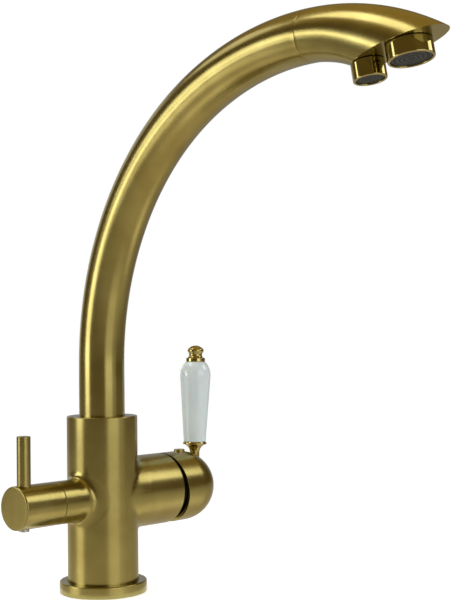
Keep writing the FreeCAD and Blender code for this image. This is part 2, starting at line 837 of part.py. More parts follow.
def beak_loft(wall):
    """The beak's form, or its hollow where a wall is given, as a loft of upright ellipses."""
    sections = []
    for turn, height, width in BEAK_STATIONS:
        oval = doc.addObject("Part::Ellipse", "Oval")
        bind(oval, "MajorRadius", f"{height} / 2 - {wall} + OvalMargin")
        bind(oval, "MinorRadius", f"{width} / 2 - {wall}")
        heading = f"(SeamTurn + {turn})"
        reach = f"(BeakTopRadius - {height} / 2)"
        place(
            oval,
            (
                f"{BACK_CENTRE_X} - {reach} * cos({heading})",
                "0",
                f"{BACK_CENTRE_Z} + {reach} * sin({heading})",
            ),
            [(ACROSS_Y, heading)],
        )
        sections.append(oval)
    loft = doc.addObject("Part::Loft", "BeakForm")
    loft.Sections = sections
    loft.Solid = True
    loft.Ruled = False
    return loft


def underside_point(reach):
    """A point of the beak's flat underside at a distance from the column's axis."""
    rise = f"tan(UndersideTilt) * ({reach} - {SEAM_X} - UndersideReach)"
    height = f"({SEAM_Z} - UndersideDrop + {rise})"
    return (reach, "0", height)


UPWARD = (ACROSS_Y, "-UndersideTilt")


def below_underside(lift):
    """A slab whose top is the underside's plane, raised by lift."""
    corner = ("-SlabSize / 2", "-SlabSize / 2", f"{lift} - SlabSize / 3")
    at = underside_point(f"({SEAM_X} + UndersideReach)")
    return block("SlabSize", "SlabSize", "SlabSize / 3", corner, at, [UPWARD])


def make_beak():
    """The hollow beak, cut by its inclined underside, with a threaded boss for each outlet."""
    main_at = underside_point(MAIN_OUTLET)
    filter_at = underside_point(FILTER_OUTLET)
    form = beak_loft("0")
    hollow = without(beak_loft("BeakWall"), below_underside("UndersidePlate"))
    shell = without(form, hollow)
    main_ledge = "(MainThreadLength + AeratorGasket)"
    filter_ledge = "(FilterThreadLength + AeratorGasket)"
    main_top = f"{main_ledge} + MainBossLand"
    main_boss = rod(f"{MAIN_THREAD} + FixedFit + MainBossWall", "0", main_top, main_at, [UPWARD])
    filter_boss = rod(f"{FILTER_THREAD} + FilterBossWall", "0", "FilterBossHeight", filter_at, [UPWARD])
    bosses = shared(beak_loft("0"), joined(main_boss, filter_boss))
    tube_top = "FilterBossHeight + Overcut"
    bores = [
        rod(f"{MAIN_THREAD} + FixedFit", "-Overcut", main_ledge, main_at, [UPWARD]),
        rod(f"{MAIN_THREAD} - MainThroatInset", "0", f"{main_top} + Overcut", main_at, [UPWARD]),
        rod(f"{FILTER_THREAD} + FixedFit", "-Overcut", filter_ledge, filter_at, [UPWARD]),
        rod(f"{FILTER_TUBE_RADIUS} + FixedFit", "0", tube_top, filter_at, [UPWARD]),
    ]
    beak = without(joined(shell, bosses), below_underside("0"), *bores)
    place(beak, CENTRE, [SWUNG])
    keep(beak, "spout_head")


def swung_point(at):
    """A point of the spout's plane, swung about the column."""
    reach, _across, height = at
    return (f"cos(90 + SpoutSwing) * ({reach})", f"-sin(90 + SpoutSwing) * ({reach})", height)


def make_outlet(prefix, reach, diameter, drop, thread, length):
    """One outlet: its threaded housing, the insert with its grate and the gasket above it."""
    at = swung_point(underside_point(reach))
    down = [SWUNG, UPWARD, (ACROSS_X, "180")]
    outer = f"({diameter} / 2)"
    neck = thread
    bore = f"({outer} - OutletWall)"
    throat = f"({neck} - OutletWall)"
    ledge = "OutletLedge"
    turned(
        f"{prefix}_aerator_housing",
        [
            (throat, f"-{length}"),
            (neck, f"-{length}"),
            (neck, "0"),
            (outer, "0"),
            (outer, f"{drop} - OutletRounding"),
            (f"{outer} - OutletRounding", drop, "OutletRounding", 1),
            (bore, drop),
            (bore, ledge),
            (throat, ledge),
        ],
        at,
        down,
    )
    edge = f"({bore} - FixedFit)"
    face = f"({drop} - InsertRecess)"
    floor = f"({face} - GrateDepth)"
    corners = [("0", ledge), (edge, ledge), (edge, face)]
    slots = GrateRings
    for slot in range(slots, 0, -1):
        far = f"({edge} * {slot} / {slots} - GrateBar)"
        near = f"({edge} * {slot - 1} / {slots} + GrateBar / 2)"
        corners += [(far, face), (far, floor), (near, floor), (near, face)]
    corners.append(("0", face))
    turned(f"{prefix}_aerator_insert", corners, at, down)
    ring(
        f"{prefix}_aerator_gasket",
        throat,
        f"{neck} - FixedFit",
        f"-{length} - AeratorGasket",
        f"-{length}",
        at,
        down,
    )


def make_filter_line():
    """The inner tube for filtered water, with the nipple and ring at its foot."""
    end = underside_point(FILTER_OUTLET)
    stop = "(FilterThreadLength + AeratorGasket + ContactGap)"
    last = ("(180 - UndersideTilt)", "FilterTubeBend")
    drop_x = f"({last[1]} * (cos(SeamTurn) - cos({last[0]})))"
    drop_z = f"({last[1]} * (sin(SeamTurn) - sin({last[0]})))"
    # The straight run after the seam is as long as it takes to meet the outlet's axis.
    gap_x = f"({end[0]} - {SEAM_X} - {drop_x})"
    gap_z = f"({end[2]} - {SEAM_Z} + {drop_z})"
    cross = "cos(SeamTurn - UndersideTilt - 90) "
    rise = f"((-({gap_z}) * sin(SeamTurn) + {gap_x} * cos(SeamTurn)) / {cross})"
    run_end = (
        f"({end[0]} - sin(UndersideTilt) * {rise} - {drop_x})",
        f"({end[2]} + cos(UndersideTilt) * {rise} + {drop_z})",
    )
    bend_end = (
        f"({end[0]} - sin(UndersideTilt) * {rise})",
        f"({end[2]} + cos(UndersideTilt) * {rise})",
    )
    tip = (
        f"({end[0]} - sin(UndersideTilt) * {stop})",
        f"({end[2]} + cos(UndersideTilt) * {stop})",
    )
    pipe(
        "filtered_water_tube",
        [
            ("0", FILTER_TUBE_BOTTOM),
            ("0", RISE_TOP),
            (BEND_X, BEND_Z, "BendRadius", -1),
            (SEAM_X, SEAM_Z, "CrownRadius", -1),
            run_end,
            (*bend_end, "FilterTubeBend", -1),
            tip,
        ],
        FILTER_TUBE_RADIUS,
        f"{FILTER_TUBE_RADIUS} - FilterTubeWall",
        FILTER_TUBE_BOTTOM,
    )
    ring_low = f"({CHAMBER_FLOOR} - NippleLand - NippleRing)"
    collar = f"({FILTER_TUBE_RADIUS} + FixedFit + NippleCollarWall)"
    ring_floor = f"({NIPPLE_RADIUS} - NippleRing + FixedFit)"
    turned(
        "filter_nipple",
        [
            ("NippleBore / 2", NIPPLE_BOTTOM),
            (NIPPLE_RADIUS, NIPPLE_BOTTOM),
            (NIPPLE_RADIUS, ring_low),
            (ring_floor, ring_low),
            (ring_floor, f"{ring_low} + NippleRing"),
            (NIPPLE_RADIUS, f"{ring_low} + NippleRing"),
            (NIPPLE_RADIUS, f"{CHAMBER_FLOOR} + FreeGap"),
            (collar, f"{CHAMBER_FLOOR} + FreeGap"),
            (collar, NIPPLE_TOP),
            (f"{FILTER_TUBE_RADIUS} + FixedFit", NIPPLE_TOP),
            (f"{FILTER_TUBE_RADIUS} + FixedFit", FILTER_TUBE_BOTTOM),
            ("NippleBore / 2", FILTER_TUBE_BOTTOM),
        ],
    )
    torus = doc.addObject("Part::Torus", "NippleRing")
    bind(torus, "Radius2", "NippleRing / 2 - FixedFit")
    bind(torus, "Radius1", f"{NIPPLE_RADIUS} - NippleRing / 2 + FixedFit")
    place(torus, ("0", "0", f"{ring_low} + NippleRing / 2"))
    keep(torus, "nipple_o_ring")


# ---------------------------------------------------------------------------------------------
# Mixer cartridge, measured outwards along the branch
# ---------------------------------------------------------------------------------------------

BASE_TOP = f"({CARTRIDGE_SEAT} + CartridgeBase)"
FIXED_DISC_TOP = f"({BASE_TOP} + DiscThickness)"
MIXING_DISC_LOW = f"({FIXED_DISC_TOP} + ContactGap)"
MIXING_DISC_TOP = f"({MIXING_DISC_LOW} + DiscThickness)"
CARRIER_TOP = f"({MIXING_DISC_TOP} + DiscThickness)"
GUIDE_LOW = f"({CARRIER_TOP} + FreeGap)"
LID_LOW = f"({GUIDE_LOW} + GuideFlangeThickness + LidGap)"
CARTRIDGE_TOP = f"({LID_LOW} + CartridgeLid)"
CAN_BORE = f"({CARTRIDGE_RADIUS} - CartridgeWall)"
NUT_HEAD = f"({CARTRIDGE_RADIUS} - NutHeadInset)"
GUIDE_NECK = "(GuideNeckDiameter / 2)"
PIVOT_REACH = f"({GUIDE_LOW} + PivotRise)"
GUIDE_REACH = f"({PIVOT_REACH} + GuideOverrun)"
BALL_REACH = f"({PIVOT_REACH} - StemArm)"
CAP_CENTRE = "(MixerRim + CapReach)"
CAP_HUB_REACH = f"({GUIDE_REACH} + CapHubGap)"
STEM_END = f"({CAP_CENTRE} + StemOverrun)"
BRANCH_TURN = [ALONG_PLUS_X]


def port_places():
    """The three ports of the cartridge, as distances across the branch and above its axis."""
    return ((INLET_Y, "0"), (f"(-{INLET_Y})", "0"), ("0", "OutletPortRise"))


def ports(radius, low, high):
    """A rod through each port of the cartridge."""
    return [
        rod(radius, low, high, ("0", across, f"(MixerHeight + {rise})"), BRANCH_TURN)
        for across, rise in port_places()
    ]


def make_cartridge():
    """The fixed pieces of the ceramic cartridge and the nut and ring that hold it."""
    seal = f"({PORT} + PortRing)"
    base = rod(CARTRIDGE_RADIUS, CARTRIDGE_SEAT, BASE_TOP, MIXER_AXIS, BRANCH_TURN)
    pockets = ports(f"{seal} + FixedFit", CARTRIDGE_SEAT, f"{CARTRIDGE_SEAT} + PortRing")
    keep(without(base, *pockets, *ports(PORT, CARTRIDGE_SEAT, BASE_TOP)), "cartridge_base")
    seals = without(
        joined(*ports(seal, CARTRIDGE_SEAT, f"{CARTRIDGE_SEAT} + PortRing")),
        *ports(f"{PORT} + FixedFit", f"{CARTRIDGE_SEAT} - Overcut", f"{CARTRIDGE_SEAT} + PortRing + Overcut"),
    )
    keep(seals, "cartridge_seals")
    disc = rod(f"{CAN_BORE} - FixedDiscClearance", BASE_TOP, FIXED_DISC_TOP, MIXER_AXIS, BRANCH_TURN)
    keep(without(disc, *ports(PORT, BASE_TOP, FIXED_DISC_TOP)), "fixed_ceramic_disc")
    turned(
        "cartridge_housing",
        [
            (CAN_BORE, BASE_TOP),
            (CARTRIDGE_RADIUS, BASE_TOP),
            (CARTRIDGE_RADIUS, CARTRIDGE_TOP),
            (f"{GUIDE_NECK} + RunningFit", CARTRIDGE_TOP),
            (f"{GUIDE_NECK} + RunningFit", LID_LOW),
            (CAN_BORE, LID_LOW),
        ],
        MIXER_AXIS,
        BRANCH_TURN,
    )
    nut_low = "(MixerRim - NutDepth)"
    nut = turned(
        None,
        [
            (BORE_RADIUS, nut_low),
            (NUT_RADIUS, nut_low),
            (NUT_RADIUS, "MixerRim"),
            (NUT_HEAD, "MixerRim"),
            (NUT_HEAD, "MixerRim + NutHead"),
            (f"{GUIDE_NECK} + NutMouthGap", "MixerRim + NutHead"),
            (f"{GUIDE_NECK} + NutMouthGap", CARTRIDGE_TOP),
            (BORE_RADIUS, CARTRIDGE_TOP),
        ],
        MIXER_AXIS,
        BRANCH_TURN,
        name="NutBlank",
    )
    notches = []
    for notch in range(NutNotches):
        angle = f"({notch} * 360 / NutNotches)"
        corner = ("-NutNotchWidth / 2", f"({NUT_HEAD} - NutNotchDepth)", "MixerRim + NutNotchStart")
        notches.append(
            block(
                "NutNotchWidth",
                "NutNotchDepth + Overcut",
                "NutHead",
                corner,
                MIXER_AXIS,
                [ALONG_PLUS_X, (UPRIGHT, angle)],
            )
        )
    keep(without(nut, *notches), "cartridge_nut")
    ring(
        "cartridge_cover_ring",
        f"{NUT_HEAD} + FixedFit",
        f"{NUT_HEAD} + FixedFit + CoverRingWall",
        "MixerRim",
        "MixerRim + CoverRingLength",
        MIXER_AXIS,
        BRANCH_TURN,
    )


def make_cartridge_moving_parts():
    """The turning guide with its cross pin, and the disc and carrier that slide under it."""
    pin_hole = rod(
        "PivotPinDiameter / 2 + RunningFit",
        f"-{GUIDE_NECK}",
        GUIDE_NECK,
        (PIVOT_REACH, "0", "MixerHeight"),
        [ALONG_PLUS_Y],
    )
    guide = joined(
        rod(
            f"{CAN_BORE} - FreeGap",
            GUIDE_LOW,
            f"{GUIDE_LOW} + GuideFlangeThickness",
            MIXER_AXIS,
            BRANCH_TURN,
        ),
        rod(GUIDE_NECK, GUIDE_LOW, GUIDE_REACH, MIXER_AXIS, BRANCH_TURN),
    )
    bore = rod("GuideBore / 2", f"{GUIDE_LOW} - Overcut", f"{GUIDE_REACH} + Overcut", MIXER_AXIS, BRANCH_TURN)
    keep(without(guide, bore, pin_hole), "stem_guide")
    keep(
        rod(
            "PivotPinDiameter / 2",
            f"FreeGap - {GUIDE_NECK}",
            f"{GUIDE_NECK} - FreeGap",
            (PIVOT_REACH, "0", "MixerHeight"),
            [ALONG_PLUS_Y],
        ),
        "stem_pivot_pin",
    )
    disc_axis = ("0", "0", "(MixerHeight - MixingDiscOffset)")
    disc = rod("MixingDiscDiameter / 2", MIXING_DISC_LOW, MIXING_DISC_TOP, disc_axis, BRANCH_TURN)
    mixing_pocket = rod(
        "MixingDiscDiameter / 2 - MixingPocketWall",
        f"{MIXING_DISC_LOW} - Overcut",
        f"{MIXING_DISC_LOW} + DiscThickness / 2",
        disc_axis,
        BRANCH_TURN,
    )
    keep(without(disc, mixing_pocket), "mixing_ceramic_disc")
    carrier = rod("MixingDiscDiameter / 2", MIXING_DISC_TOP, CARRIER_TOP, disc_axis, BRANCH_TURN)
    socket = rod(
        "StemBallDiameter / 2 + FreeGap",
        MIXING_DISC_TOP,
        f"{CARRIER_TOP} + Overcut",
        MIXER_AXIS,
        BRANCH_TURN,
    )
    keep(without(carrier, socket), "disc_carrier")


def make_stem():
    """The square stem that tilts on the cross pin and drives the disc with its ball end."""
    ball = doc.addObject("Part::Sphere", "BallEnd")
    bind(ball, "Radius", "StemBallDiameter / 2")
    place(ball, (BALL_REACH, "0", "MixerHeight"))
    waist = rod("StemWaist / 2", BALL_REACH, PIVOT_REACH, MIXER_AXIS, BRANCH_TURN)
    square_low = f"({PIVOT_REACH} - StemTail)"
    bar = block(
        f"{STEM_END} - {square_low}",
        "StemThickness",
        "StemThickness",
        (square_low, "-StemThickness / 2", "MixerHeight - StemThickness / 2"),
    )
    pin_hole = rod(
        "PivotPinDiameter / 2 + RunningFit",
        "-StemThickness",
        "StemThickness",
        (PIVOT_REACH, "0", "MixerHeight"),
        [ALONG_PLUS_Y],
    )
    keep(without(joined(ball, waist, bar), pin_hole), "lever_stem")


# ---------------------------------------------------------------------------------------------
# Lever cap and lever
# ---------------------------------------------------------------------------------------------

LEVER_REACH = f"({CAP_CENTRE} + LeverSetback)"
LEVER_RISE = f"(sqrt({MIXER_RADIUS} ^ 2 - LeverSetback ^ 2) - LeverSink)"
LEVER_FOOT = f"(MixerHeight + {LEVER_RISE})"
CAP_AT = (CAP_CENTRE, "0", "MixerHeight")
LEVER_AT = (LEVER_REACH, "0", LEVER_FOOT)
LEVER_TURN = [(ACROSS_Y, "LeverLean")]
PLUG_SEAT = f"({MIXER_RADIUS} - PlugSeatDepth)"
RIM_SLOPE = f"atan((CapGapBottom - CapGapTop) / 2 / {MIXER_RADIUS})"


def dome(radius, tail):
    """A cylinder along the branch that ends in a half sphere at the cap's centre."""
    ball = doc.addObject("Part::Sphere", "Dome")
    bind(ball, "Radius", radius)
    place(ball, CAP_AT)
    return joined(ball, rod(radius, tail, CAP_CENTRE, MIXER_AXIS, BRANCH_TURN))


def make_cap():
    """The domed cap, with its slanting rim, the hub for the stem and the hub for the lever."""
    inner = f"({MIXER_RADIUS} - CapWall)"
    shell = without(dome(MIXER_RADIUS, "MixerRim"), dome(inner, "MixerRim - Overcut"))
    hubs = joined(
        rod("CapHubDiameter / 2", CAP_HUB_REACH, f"{CAP_CENTRE} + {inner}", MIXER_AXIS, BRANCH_TURN),
        rod("LeverHubDiameter / 2", "-LeverHubDepth", "LeverHubRise", LEVER_AT, LEVER_TURN),
    )
    trimmed_hubs = shared(dome(f"{MIXER_RADIUS} - CapWall / 2", "MixerRim"), hubs)
    rim_cut = block(
        "SlabSize / 4",
        "SlabSize / 2",
        "SlabSize / 2",
        ("-SlabSize / 4", "-SlabSize / 4", "-SlabSize / 4"),
        ("MixerRim + (CapGapTop + CapGapBottom) / 2", "0", "MixerHeight"),
        [(ACROSS_Y, f"-{RIM_SLOPE}")],
    )
    square = block(
        f"{STEM_END} + FixedFit - {CAP_HUB_REACH} + Overcut",
        "StemThickness + 2 * FixedFit",
        "StemThickness + 2 * FixedFit",
        (
            f"{CAP_HUB_REACH} - Overcut",
            "-StemThickness / 2 - FixedFit",
            "MixerHeight - StemThickness / 2 - FixedFit",
        ),
    )
    screw_hole = rod("CapScrewDiameter / 2 + FixedFit", "0", "CapHubDiameter", CAP_AT)
    plug_hole = rod("PlugShank / 2 + FixedFit", "CapHubDiameter", f"2 * {MIXER_RADIUS}", CAP_AT)
    plug_seat = rod("PlugDiameter / 2 + FixedFit", PLUG_SEAT, f"2 * {MIXER_RADIUS}", CAP_AT)
    above = "2 * LeverHubDepth"
    rod_low = "-RodEmbed - RodEndGap"
    rod_hole = rod("RodDiameter / 2 + FixedFit", rod_low, above, LEVER_AT, LEVER_TURN)
    neck = "CollarNeckDiameter / 2 + FixedFit"
    neck_hole = rod(neck, "-CollarEmbed", above, LEVER_AT, LEVER_TURN)
    cap = without(
        joined(shell, trimmed_hubs),
        rim_cut,
        square,
        screw_hole,
        plug_hole,
        plug_seat,
        rod_hole,
        neck_hole,
    )
    keep(cap, "mixer_cap")
    screw_low = "(StemThickness / 2)"
    screw_end = f"({screw_low} + CapScrewLength)"
    screw = rod("CapScrewDiameter / 2", screw_low, screw_end, CAP_AT)
    key = hex_key_hole(f"{screw_end} - HexSocketDepth", f"{screw_end} + Overcut", CAP_AT, ())
    keep(without(screw, key), "lever_grub_screw")
    crown = f"({MIXER_RADIUS} + PlugRise)"
    turned(
        "index_plug",
        [
            ("0", f"{inner} - Overcut"),
            ("PlugShank / 2", f"{inner} - Overcut"),
            ("PlugShank / 2", PLUG_SEAT),
            ("PlugDiameter / 2", PLUG_SEAT),
            ("PlugDiameter / 2", f"{crown} - PlugRounding"),
            ("PlugDiameter / 2 - PlugRounding", crown, "PlugRounding", 1),
            ("0", crown),
        ],
        CAP_AT,
    )


COLLAR_RIM_START = "(CollarFlareStart + CollarFlareHeight)"
COLLAR_RIM_END = f"({COLLAR_RIM_START} + CollarRimThickness)"
HANDLE_START = f"({COLLAR_RIM_END} + CollarLip)"
HANDLE_SHOULDER = f"({HANDLE_START} + HandleTaperLength)"
HANDLE_END = f"({HANDLE_SHOULDER} + HandleCrownLength)"
FINIAL_RING_END = f"({HANDLE_END} + FinialRingHeight)"
FINIAL_NECK_END = f"({FINIAL_RING_END} + FinialNeckHeight)"
FINIAL_KNOB_END = f"({FINIAL_NECK_END} + FinialKnobHeight)"


def make_lever():
    """The lever on the cap: a steel rod that clamps a brass collar, a porcelain grip and a finial."""
    rod_radius = "(RodDiameter / 2)"
    bore = f"({rod_radius} + FixedFit)"
    rod_end = f"({FINIAL_NECK_END} + RodTail)"
    crown_rise = "(FinialKnobHeight - FinialKnobFlare - FinialKnobBand)"
    crown_radius = f"((FinialKnobDiameter ^ 2 / 4 + {crown_rise} ^ 2) / 2 / {crown_rise})"
    keep(rod(rod_radius, "-RodEmbed", rod_end, LEVER_AT, LEVER_TURN), "lever_rod")
    turned(
        "lever_collar",
        [
            (bore, "-CollarEmbed"),
            ("CollarNeckDiameter / 2", "-CollarEmbed"),
            ("CollarNeckDiameter / 2", "CollarFlareStart"),
            ("CollarRimDiameter / 2", COLLAR_RIM_START, "CollarFlareRadius", -1),
            ("CollarRimDiameter / 2", COLLAR_RIM_END),
            ("CollarRimDiameter / 2 - CollarLip", HANDLE_START),
            (bore, HANDLE_START),
        ],
        LEVER_AT,
        LEVER_TURN,
    )
    turned(
        "porcelain_handle",
        [
            (bore, HANDLE_START),
            ("HandleFootDiameter / 2 - HandleFootRounding", HANDLE_START),
            (
                "HandleFootDiameter / 2",
                f"{HANDLE_START} + HandleFootRounding",
                "HandleFootRounding",
                1,
            ),
            ("HandleFullDiameter / 2", HANDLE_SHOULDER),
            ("HandleTopDiameter / 2", HANDLE_END, "HandleShoulderRadius", 1),
            (bore, HANDLE_END),
        ],
        LEVER_AT,
        LEVER_TURN,
    )
    turned(
        "lever_finial",
        [
            (bore, HANDLE_END),
            ("FinialRingDiameter / 2", HANDLE_END),
            ("FinialRingDiameter / 2", f"{FINIAL_RING_END} - FinialRingEdge"),
            ("FinialRingDiameter / 2 - FinialRingEdge", FINIAL_RING_END),
            ("FinialNeckDiameter / 2", f"{FINIAL_RING_END} + FinialNeckStep"),
            ("FinialNeckDiameter / 2", f"{FINIAL_NECK_END} - FinialNeckStep"),
            ("FinialKnobDiameter / 2", f"{FINIAL_NECK_END} + FinialKnobFlare"),
            ("FinialKnobDiameter / 2", f"{FINIAL_NECK_END} + FinialKnobFlare + FinialKnobBand"),
            ("0", FINIAL_KNOB_END, crown_radius, 1),
            ("0", f"{rod_end} + RodTipGap"),
            (bore, f"{rod_end} + RodTipGap"),
        ],
        LEVER_AT,
        LEVER_TURN,
    )


# ---------------------------------------------------------------------------------------------
# Filter valve and knob, measured outwards along the branch
# ---------------------------------------------------------------------------------------------

VALVE_TURN = [ALONG_MINUS_X]
VALVE_BORE = f"({VALVE_RADIUS} - ValveWall)"
VALVE_COLLAR = f"({VALVE_RADIUS} + ValveCollarStep)"
VALVE_LOW = f"({VALVE_SEAT} + ValveSeal)"
FIXED_TOP = f"({VALVE_LOW} + ValveDiscThickness)"
MOVING_LOW = f"({FIXED_TOP} + ContactGap)"
MOVING_TOP = f"({MOVING_LOW} + ValveDiscThickness)"
SPINDLE_RADIUS = "(SpindleDiameter / 2)"
FLANGE_TOP = f"({MOVING_TOP} + SpindleFlange)"
KNOB_LOW = "(FilterRim + FreeGap)"
VALVE_NECK_END = "(FilterRim + ValveNeckLength)"
SPINDLE_RING = f"({VALVE_NECK_END} - SpindleRingSetback)"
KNOB_END = f"({KNOB_LOW} + KnobLength)"
KNOB_CAVITY = f"({VALVE_COLLAR} + KnobCavityGap)"
SPINDLE_END = f"({KNOB_END} - KnobCrown)"
PIN_REACH = f"({KNOB_END} - PinSetback)"
CLIP_LOW = f"({VALVE_NECK_END} + ContactGap)"


def make_filter_valve():
    """The quarter turn valve: seal, fixed disc and brass case in the branch, and what turns in it."""
    neck = "(ValveNeckDiameter / 2)"
    neck_bore = f"({SPINDLE_RADIUS} + RunningFit)"
    cavity_top = f"({FLANGE_TOP} + ContactGap)"
    case = turned(
        None,
        [
            (VALVE_BORE, VALVE_LOW),
            (VALVE_RADIUS, VALVE_LOW),
            (VALVE_RADIUS, "FilterRim"),
            (VALVE_COLLAR, "FilterRim"),
            (VALVE_COLLAR, "FilterRim + ValveCollar"),
            (neck, "FilterRim + ValveCollar"),
            (neck, VALVE_NECK_END),
            (neck_bore, VALVE_NECK_END),
            (neck_bore, cavity_top),
            (VALVE_BORE, cavity_top),
        ],
        FILTER_AXIS,
        VALVE_TURN,
        name="CaseBlank",
    )
    window = block(
        "ValveDiscThickness",
        "ValveWindowWidth",
        "ValveDiameter",
        (f"-({MOVING_TOP})", "-ValveWindowWidth / 2", "0"),
        FILTER_AXIS,
    )
    keep(without(case, window), "filter_valve_body")
    ring(
        "filter_valve_seal",
        WATERWAY,
        VALVE_RADIUS,
        VALVE_SEAT,
        VALVE_LOW,
        FILTER_AXIS,
        VALVE_TURN,
    )
    disc_radius = f"({VALVE_BORE} - FixedFit)"
    fixed = rod(disc_radius, VALVE_LOW, FIXED_TOP, FILTER_AXIS, VALVE_TURN)
    inlet_at = ("0", "ValveInletOffset", FILTER_HEIGHT)
    inlet = rod("ValveInletDiameter / 2", VALVE_LOW, FIXED_TOP, inlet_at, VALVE_TURN)
    keep(without(fixed, inlet), "filter_fixed_disc")
    moving = rod(f"{disc_radius} - FreeGap", MOVING_LOW, MOVING_TOP, FILTER_AXIS, VALVE_TURN)
    passage = block(
        "ValveDiscThickness",
        "ValveWindowWidth",
        "ValveDiameter",
        (f"-({MOVING_TOP})", "-ValveWindowWidth / 2", "ValvePassageStart"),
        FILTER_AXIS,
    )
    keep(without(moving, passage), "filter_moving_disc")


def make_spindle():
    """The spindle that turns the moving disc, with its sealing ring and circlip."""
    flange = f"({VALVE_BORE} - FreeGap - FixedFit)"
    ring_low = SPINDLE_RING
    ring_floor = f"({SPINDLE_RADIUS} - SpindleRingDepth)"
    clip_floor = f"({SPINDLE_RADIUS} - ClipGroove)"
    turned(
        "filter_spindle",
        [
            ("0", MOVING_TOP),
            (flange, MOVING_TOP),
            (flange, FLANGE_TOP),
            (SPINDLE_RADIUS, FLANGE_TOP),
            (SPINDLE_RADIUS, ring_low),
            (ring_floor, ring_low),
            (ring_floor, f"{ring_low} + SpindleRingWidth"),
            (SPINDLE_RADIUS, f"{ring_low} + SpindleRingWidth"),
            (SPINDLE_RADIUS, CLIP_LOW),
            (clip_floor, CLIP_LOW),
            (clip_floor, f"{CLIP_LOW} + ClipThickness + ContactGap"),
            (SPINDLE_RADIUS, f"{CLIP_LOW} + ClipThickness + ContactGap"),
            (SPINDLE_RADIUS, SPINDLE_END),
            ("0", SPINDLE_END),
        ],
        FILTER_AXIS,
        VALVE_TURN,
    )
    ring(
        "spindle_o_ring",
        f"{ring_floor} + ContactGap",
        SPINDLE_RADIUS,
        f"{ring_low} + FixedFit",
        f"{ring_low} + SpindleRingWidth - FixedFit",
        FILTER_AXIS,
        VALVE_TURN,
    )
    ring(
        "spindle_circlip",
        f"{clip_floor} + ContactGap",
        "ClipDiameter / 2",
        CLIP_LOW,
        f"{CLIP_LOW} + ClipThickness",
        FILTER_AXIS,
        VALVE_TURN,
    )


def make_knob():
    """The filter knob, its upright pin lever and the grub screw under it."""
    pin_at = (f"(-{PIN_REACH})", "0", FILTER_HEIGHT)
    blank = turned(
        None,
        [
            (KNOB_CAVITY, KNOB_LOW),
            (FILTER_RADIUS, KNOB_LOW),
            (FILTER_RADIUS, f"{KNOB_END} - KnobBevel"),
            (f"{FILTER_RADIUS} - KnobBevel", KNOB_END),
            ("0", KNOB_END),
            ("0", f"{SPINDLE_END} + FixedFit"),
            (f"{SPINDLE_RADIUS} + FixedFit", f"{SPINDLE_END} + FixedFit"),
            (f"{SPINDLE_RADIUS} + FixedFit", f"{KNOB_LOW} + KnobCavityDepth"),
            (KNOB_CAVITY, f"{KNOB_LOW} + KnobCavityDepth"),
        ],
        FILTER_AXIS,
        VALVE_TURN,
        name="KnobBlank",
    )
    pin_seat = f"({FILTER_RADIUS} - PinSeatDepth)"
    shank_low = f"({pin_seat} - PinShankLength)"
    seat_hole = rod("PinDiameter / 2 + FixedFit", pin_seat, f"{FILTER_RADIUS} + Overcut", pin_at)
    shank_hole = rod("PinShankDiameter / 2 + FixedFit", f"{shank_low} - FreeGap", FILTER_RADIUS, pin_at)
    screw_hole = rod(
        "KnobScrewDiameter / 2 + FixedFit",
        "0",
        f"{FILTER_RADIUS} + Overcut",
        pin_at,
        [(ACROSS_X, "180")],
    )
    keep(without(blank, seat_hole, shank_hole, screw_hole), "filter_knob")
    top = "PinHeight"
    turned(
        "filter_pin_lever",
        [
            ("0", shank_low),
            ("PinShankDiameter / 2", shank_low),
            ("PinShankDiameter / 2", pin_seat),
            ("PinDiameter / 2", pin_seat),
            ("PinDiameter / 2", f"{top} - PinEdge"),
            ("PinDiameter / 2 - PinEdge", top),
            ("0", top),
        ],
        pin_at,
    )
    screw_low = f"({SPINDLE_RADIUS} + ContactGap)"
    screw_end = f"({FILTER_RADIUS} + KnobScrewRise)"
    screw = rod("KnobScrewDiameter / 2", screw_low, screw_end, pin_at, [(ACROSS_X, "180")])
    key = hex_key_hole(
        f"{screw_end} - HexSocketDepth", f"{screw_end} + Overcut", pin_at, [(ACROSS_X, "180")]
    )
    keep(without(screw, key), "filter_knob_grub_screw")


def check_model():
    """Stops if an object failed or a sub-part has no sound solid."""
    for item in doc.Objects:
        if "Invalid" in item.State or "Error" in item.State:
            raise RuntimeError(f"{item.Name} ({item.Label}) failed: {item.State}")
    for item in MODEL:
        if item.Shape.isNull() or not item.Shape.isValid() or not item.Shape.Solids:
            raise RuntimeError(f"{item.Label} has no valid solid")


def write_parts():
    """Writes each sub-part to its own file."""
    os.makedirs("parts", exist_ok=True)
    for item in MODEL:
        item.Shape.exportStep(f"parts/{item.Label}.step")
        solids = len(item.Shape.Solids)
        print(f"{item.Label:26s} solids {solids}  volume {item.Shape.Volume:10.1f} mm3")


make_flange()
make_column()
make_inlet_block()
make_swivel()
make_spout_tube()
make_beak()
make_outlet(
    "main",
    MAIN_OUTLET,
    "MainOutletDiameter",
    "MainOutletDrop",
    MAIN_THREAD,
    "MainThreadLength",
)
make_outlet(
    "filter",
    FILTER_OUTLET,
    "FilterOutletDiameter",
    "FilterOutletDrop",
    FILTER_THREAD,
    "FilterThreadLength",
)
make_filter_line()
make_cartridge()
make_cartridge_moving_parts()
make_stem()
make_cap()
make_lever()
make_filter_valve()
make_spindle()
make_knob()
doc.recompute()
check_model()
write_parts()
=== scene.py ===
"""Looks of a three way kitchen tap in satin brass with a porcelain lever.

The shapes are measured in millimetres in the tap's own frame: +Z up, the branches along X and the
spout to the front, -Y. Every mesh is scaled to metres when it is finished.
"""

import json
import logging
import math
from collections.abc import Sequence
from dataclasses import dataclass
from enum import Enum
from functools import cache
from typing import Any

import bmesh
import bpy
from mathutils import Matrix, Vector

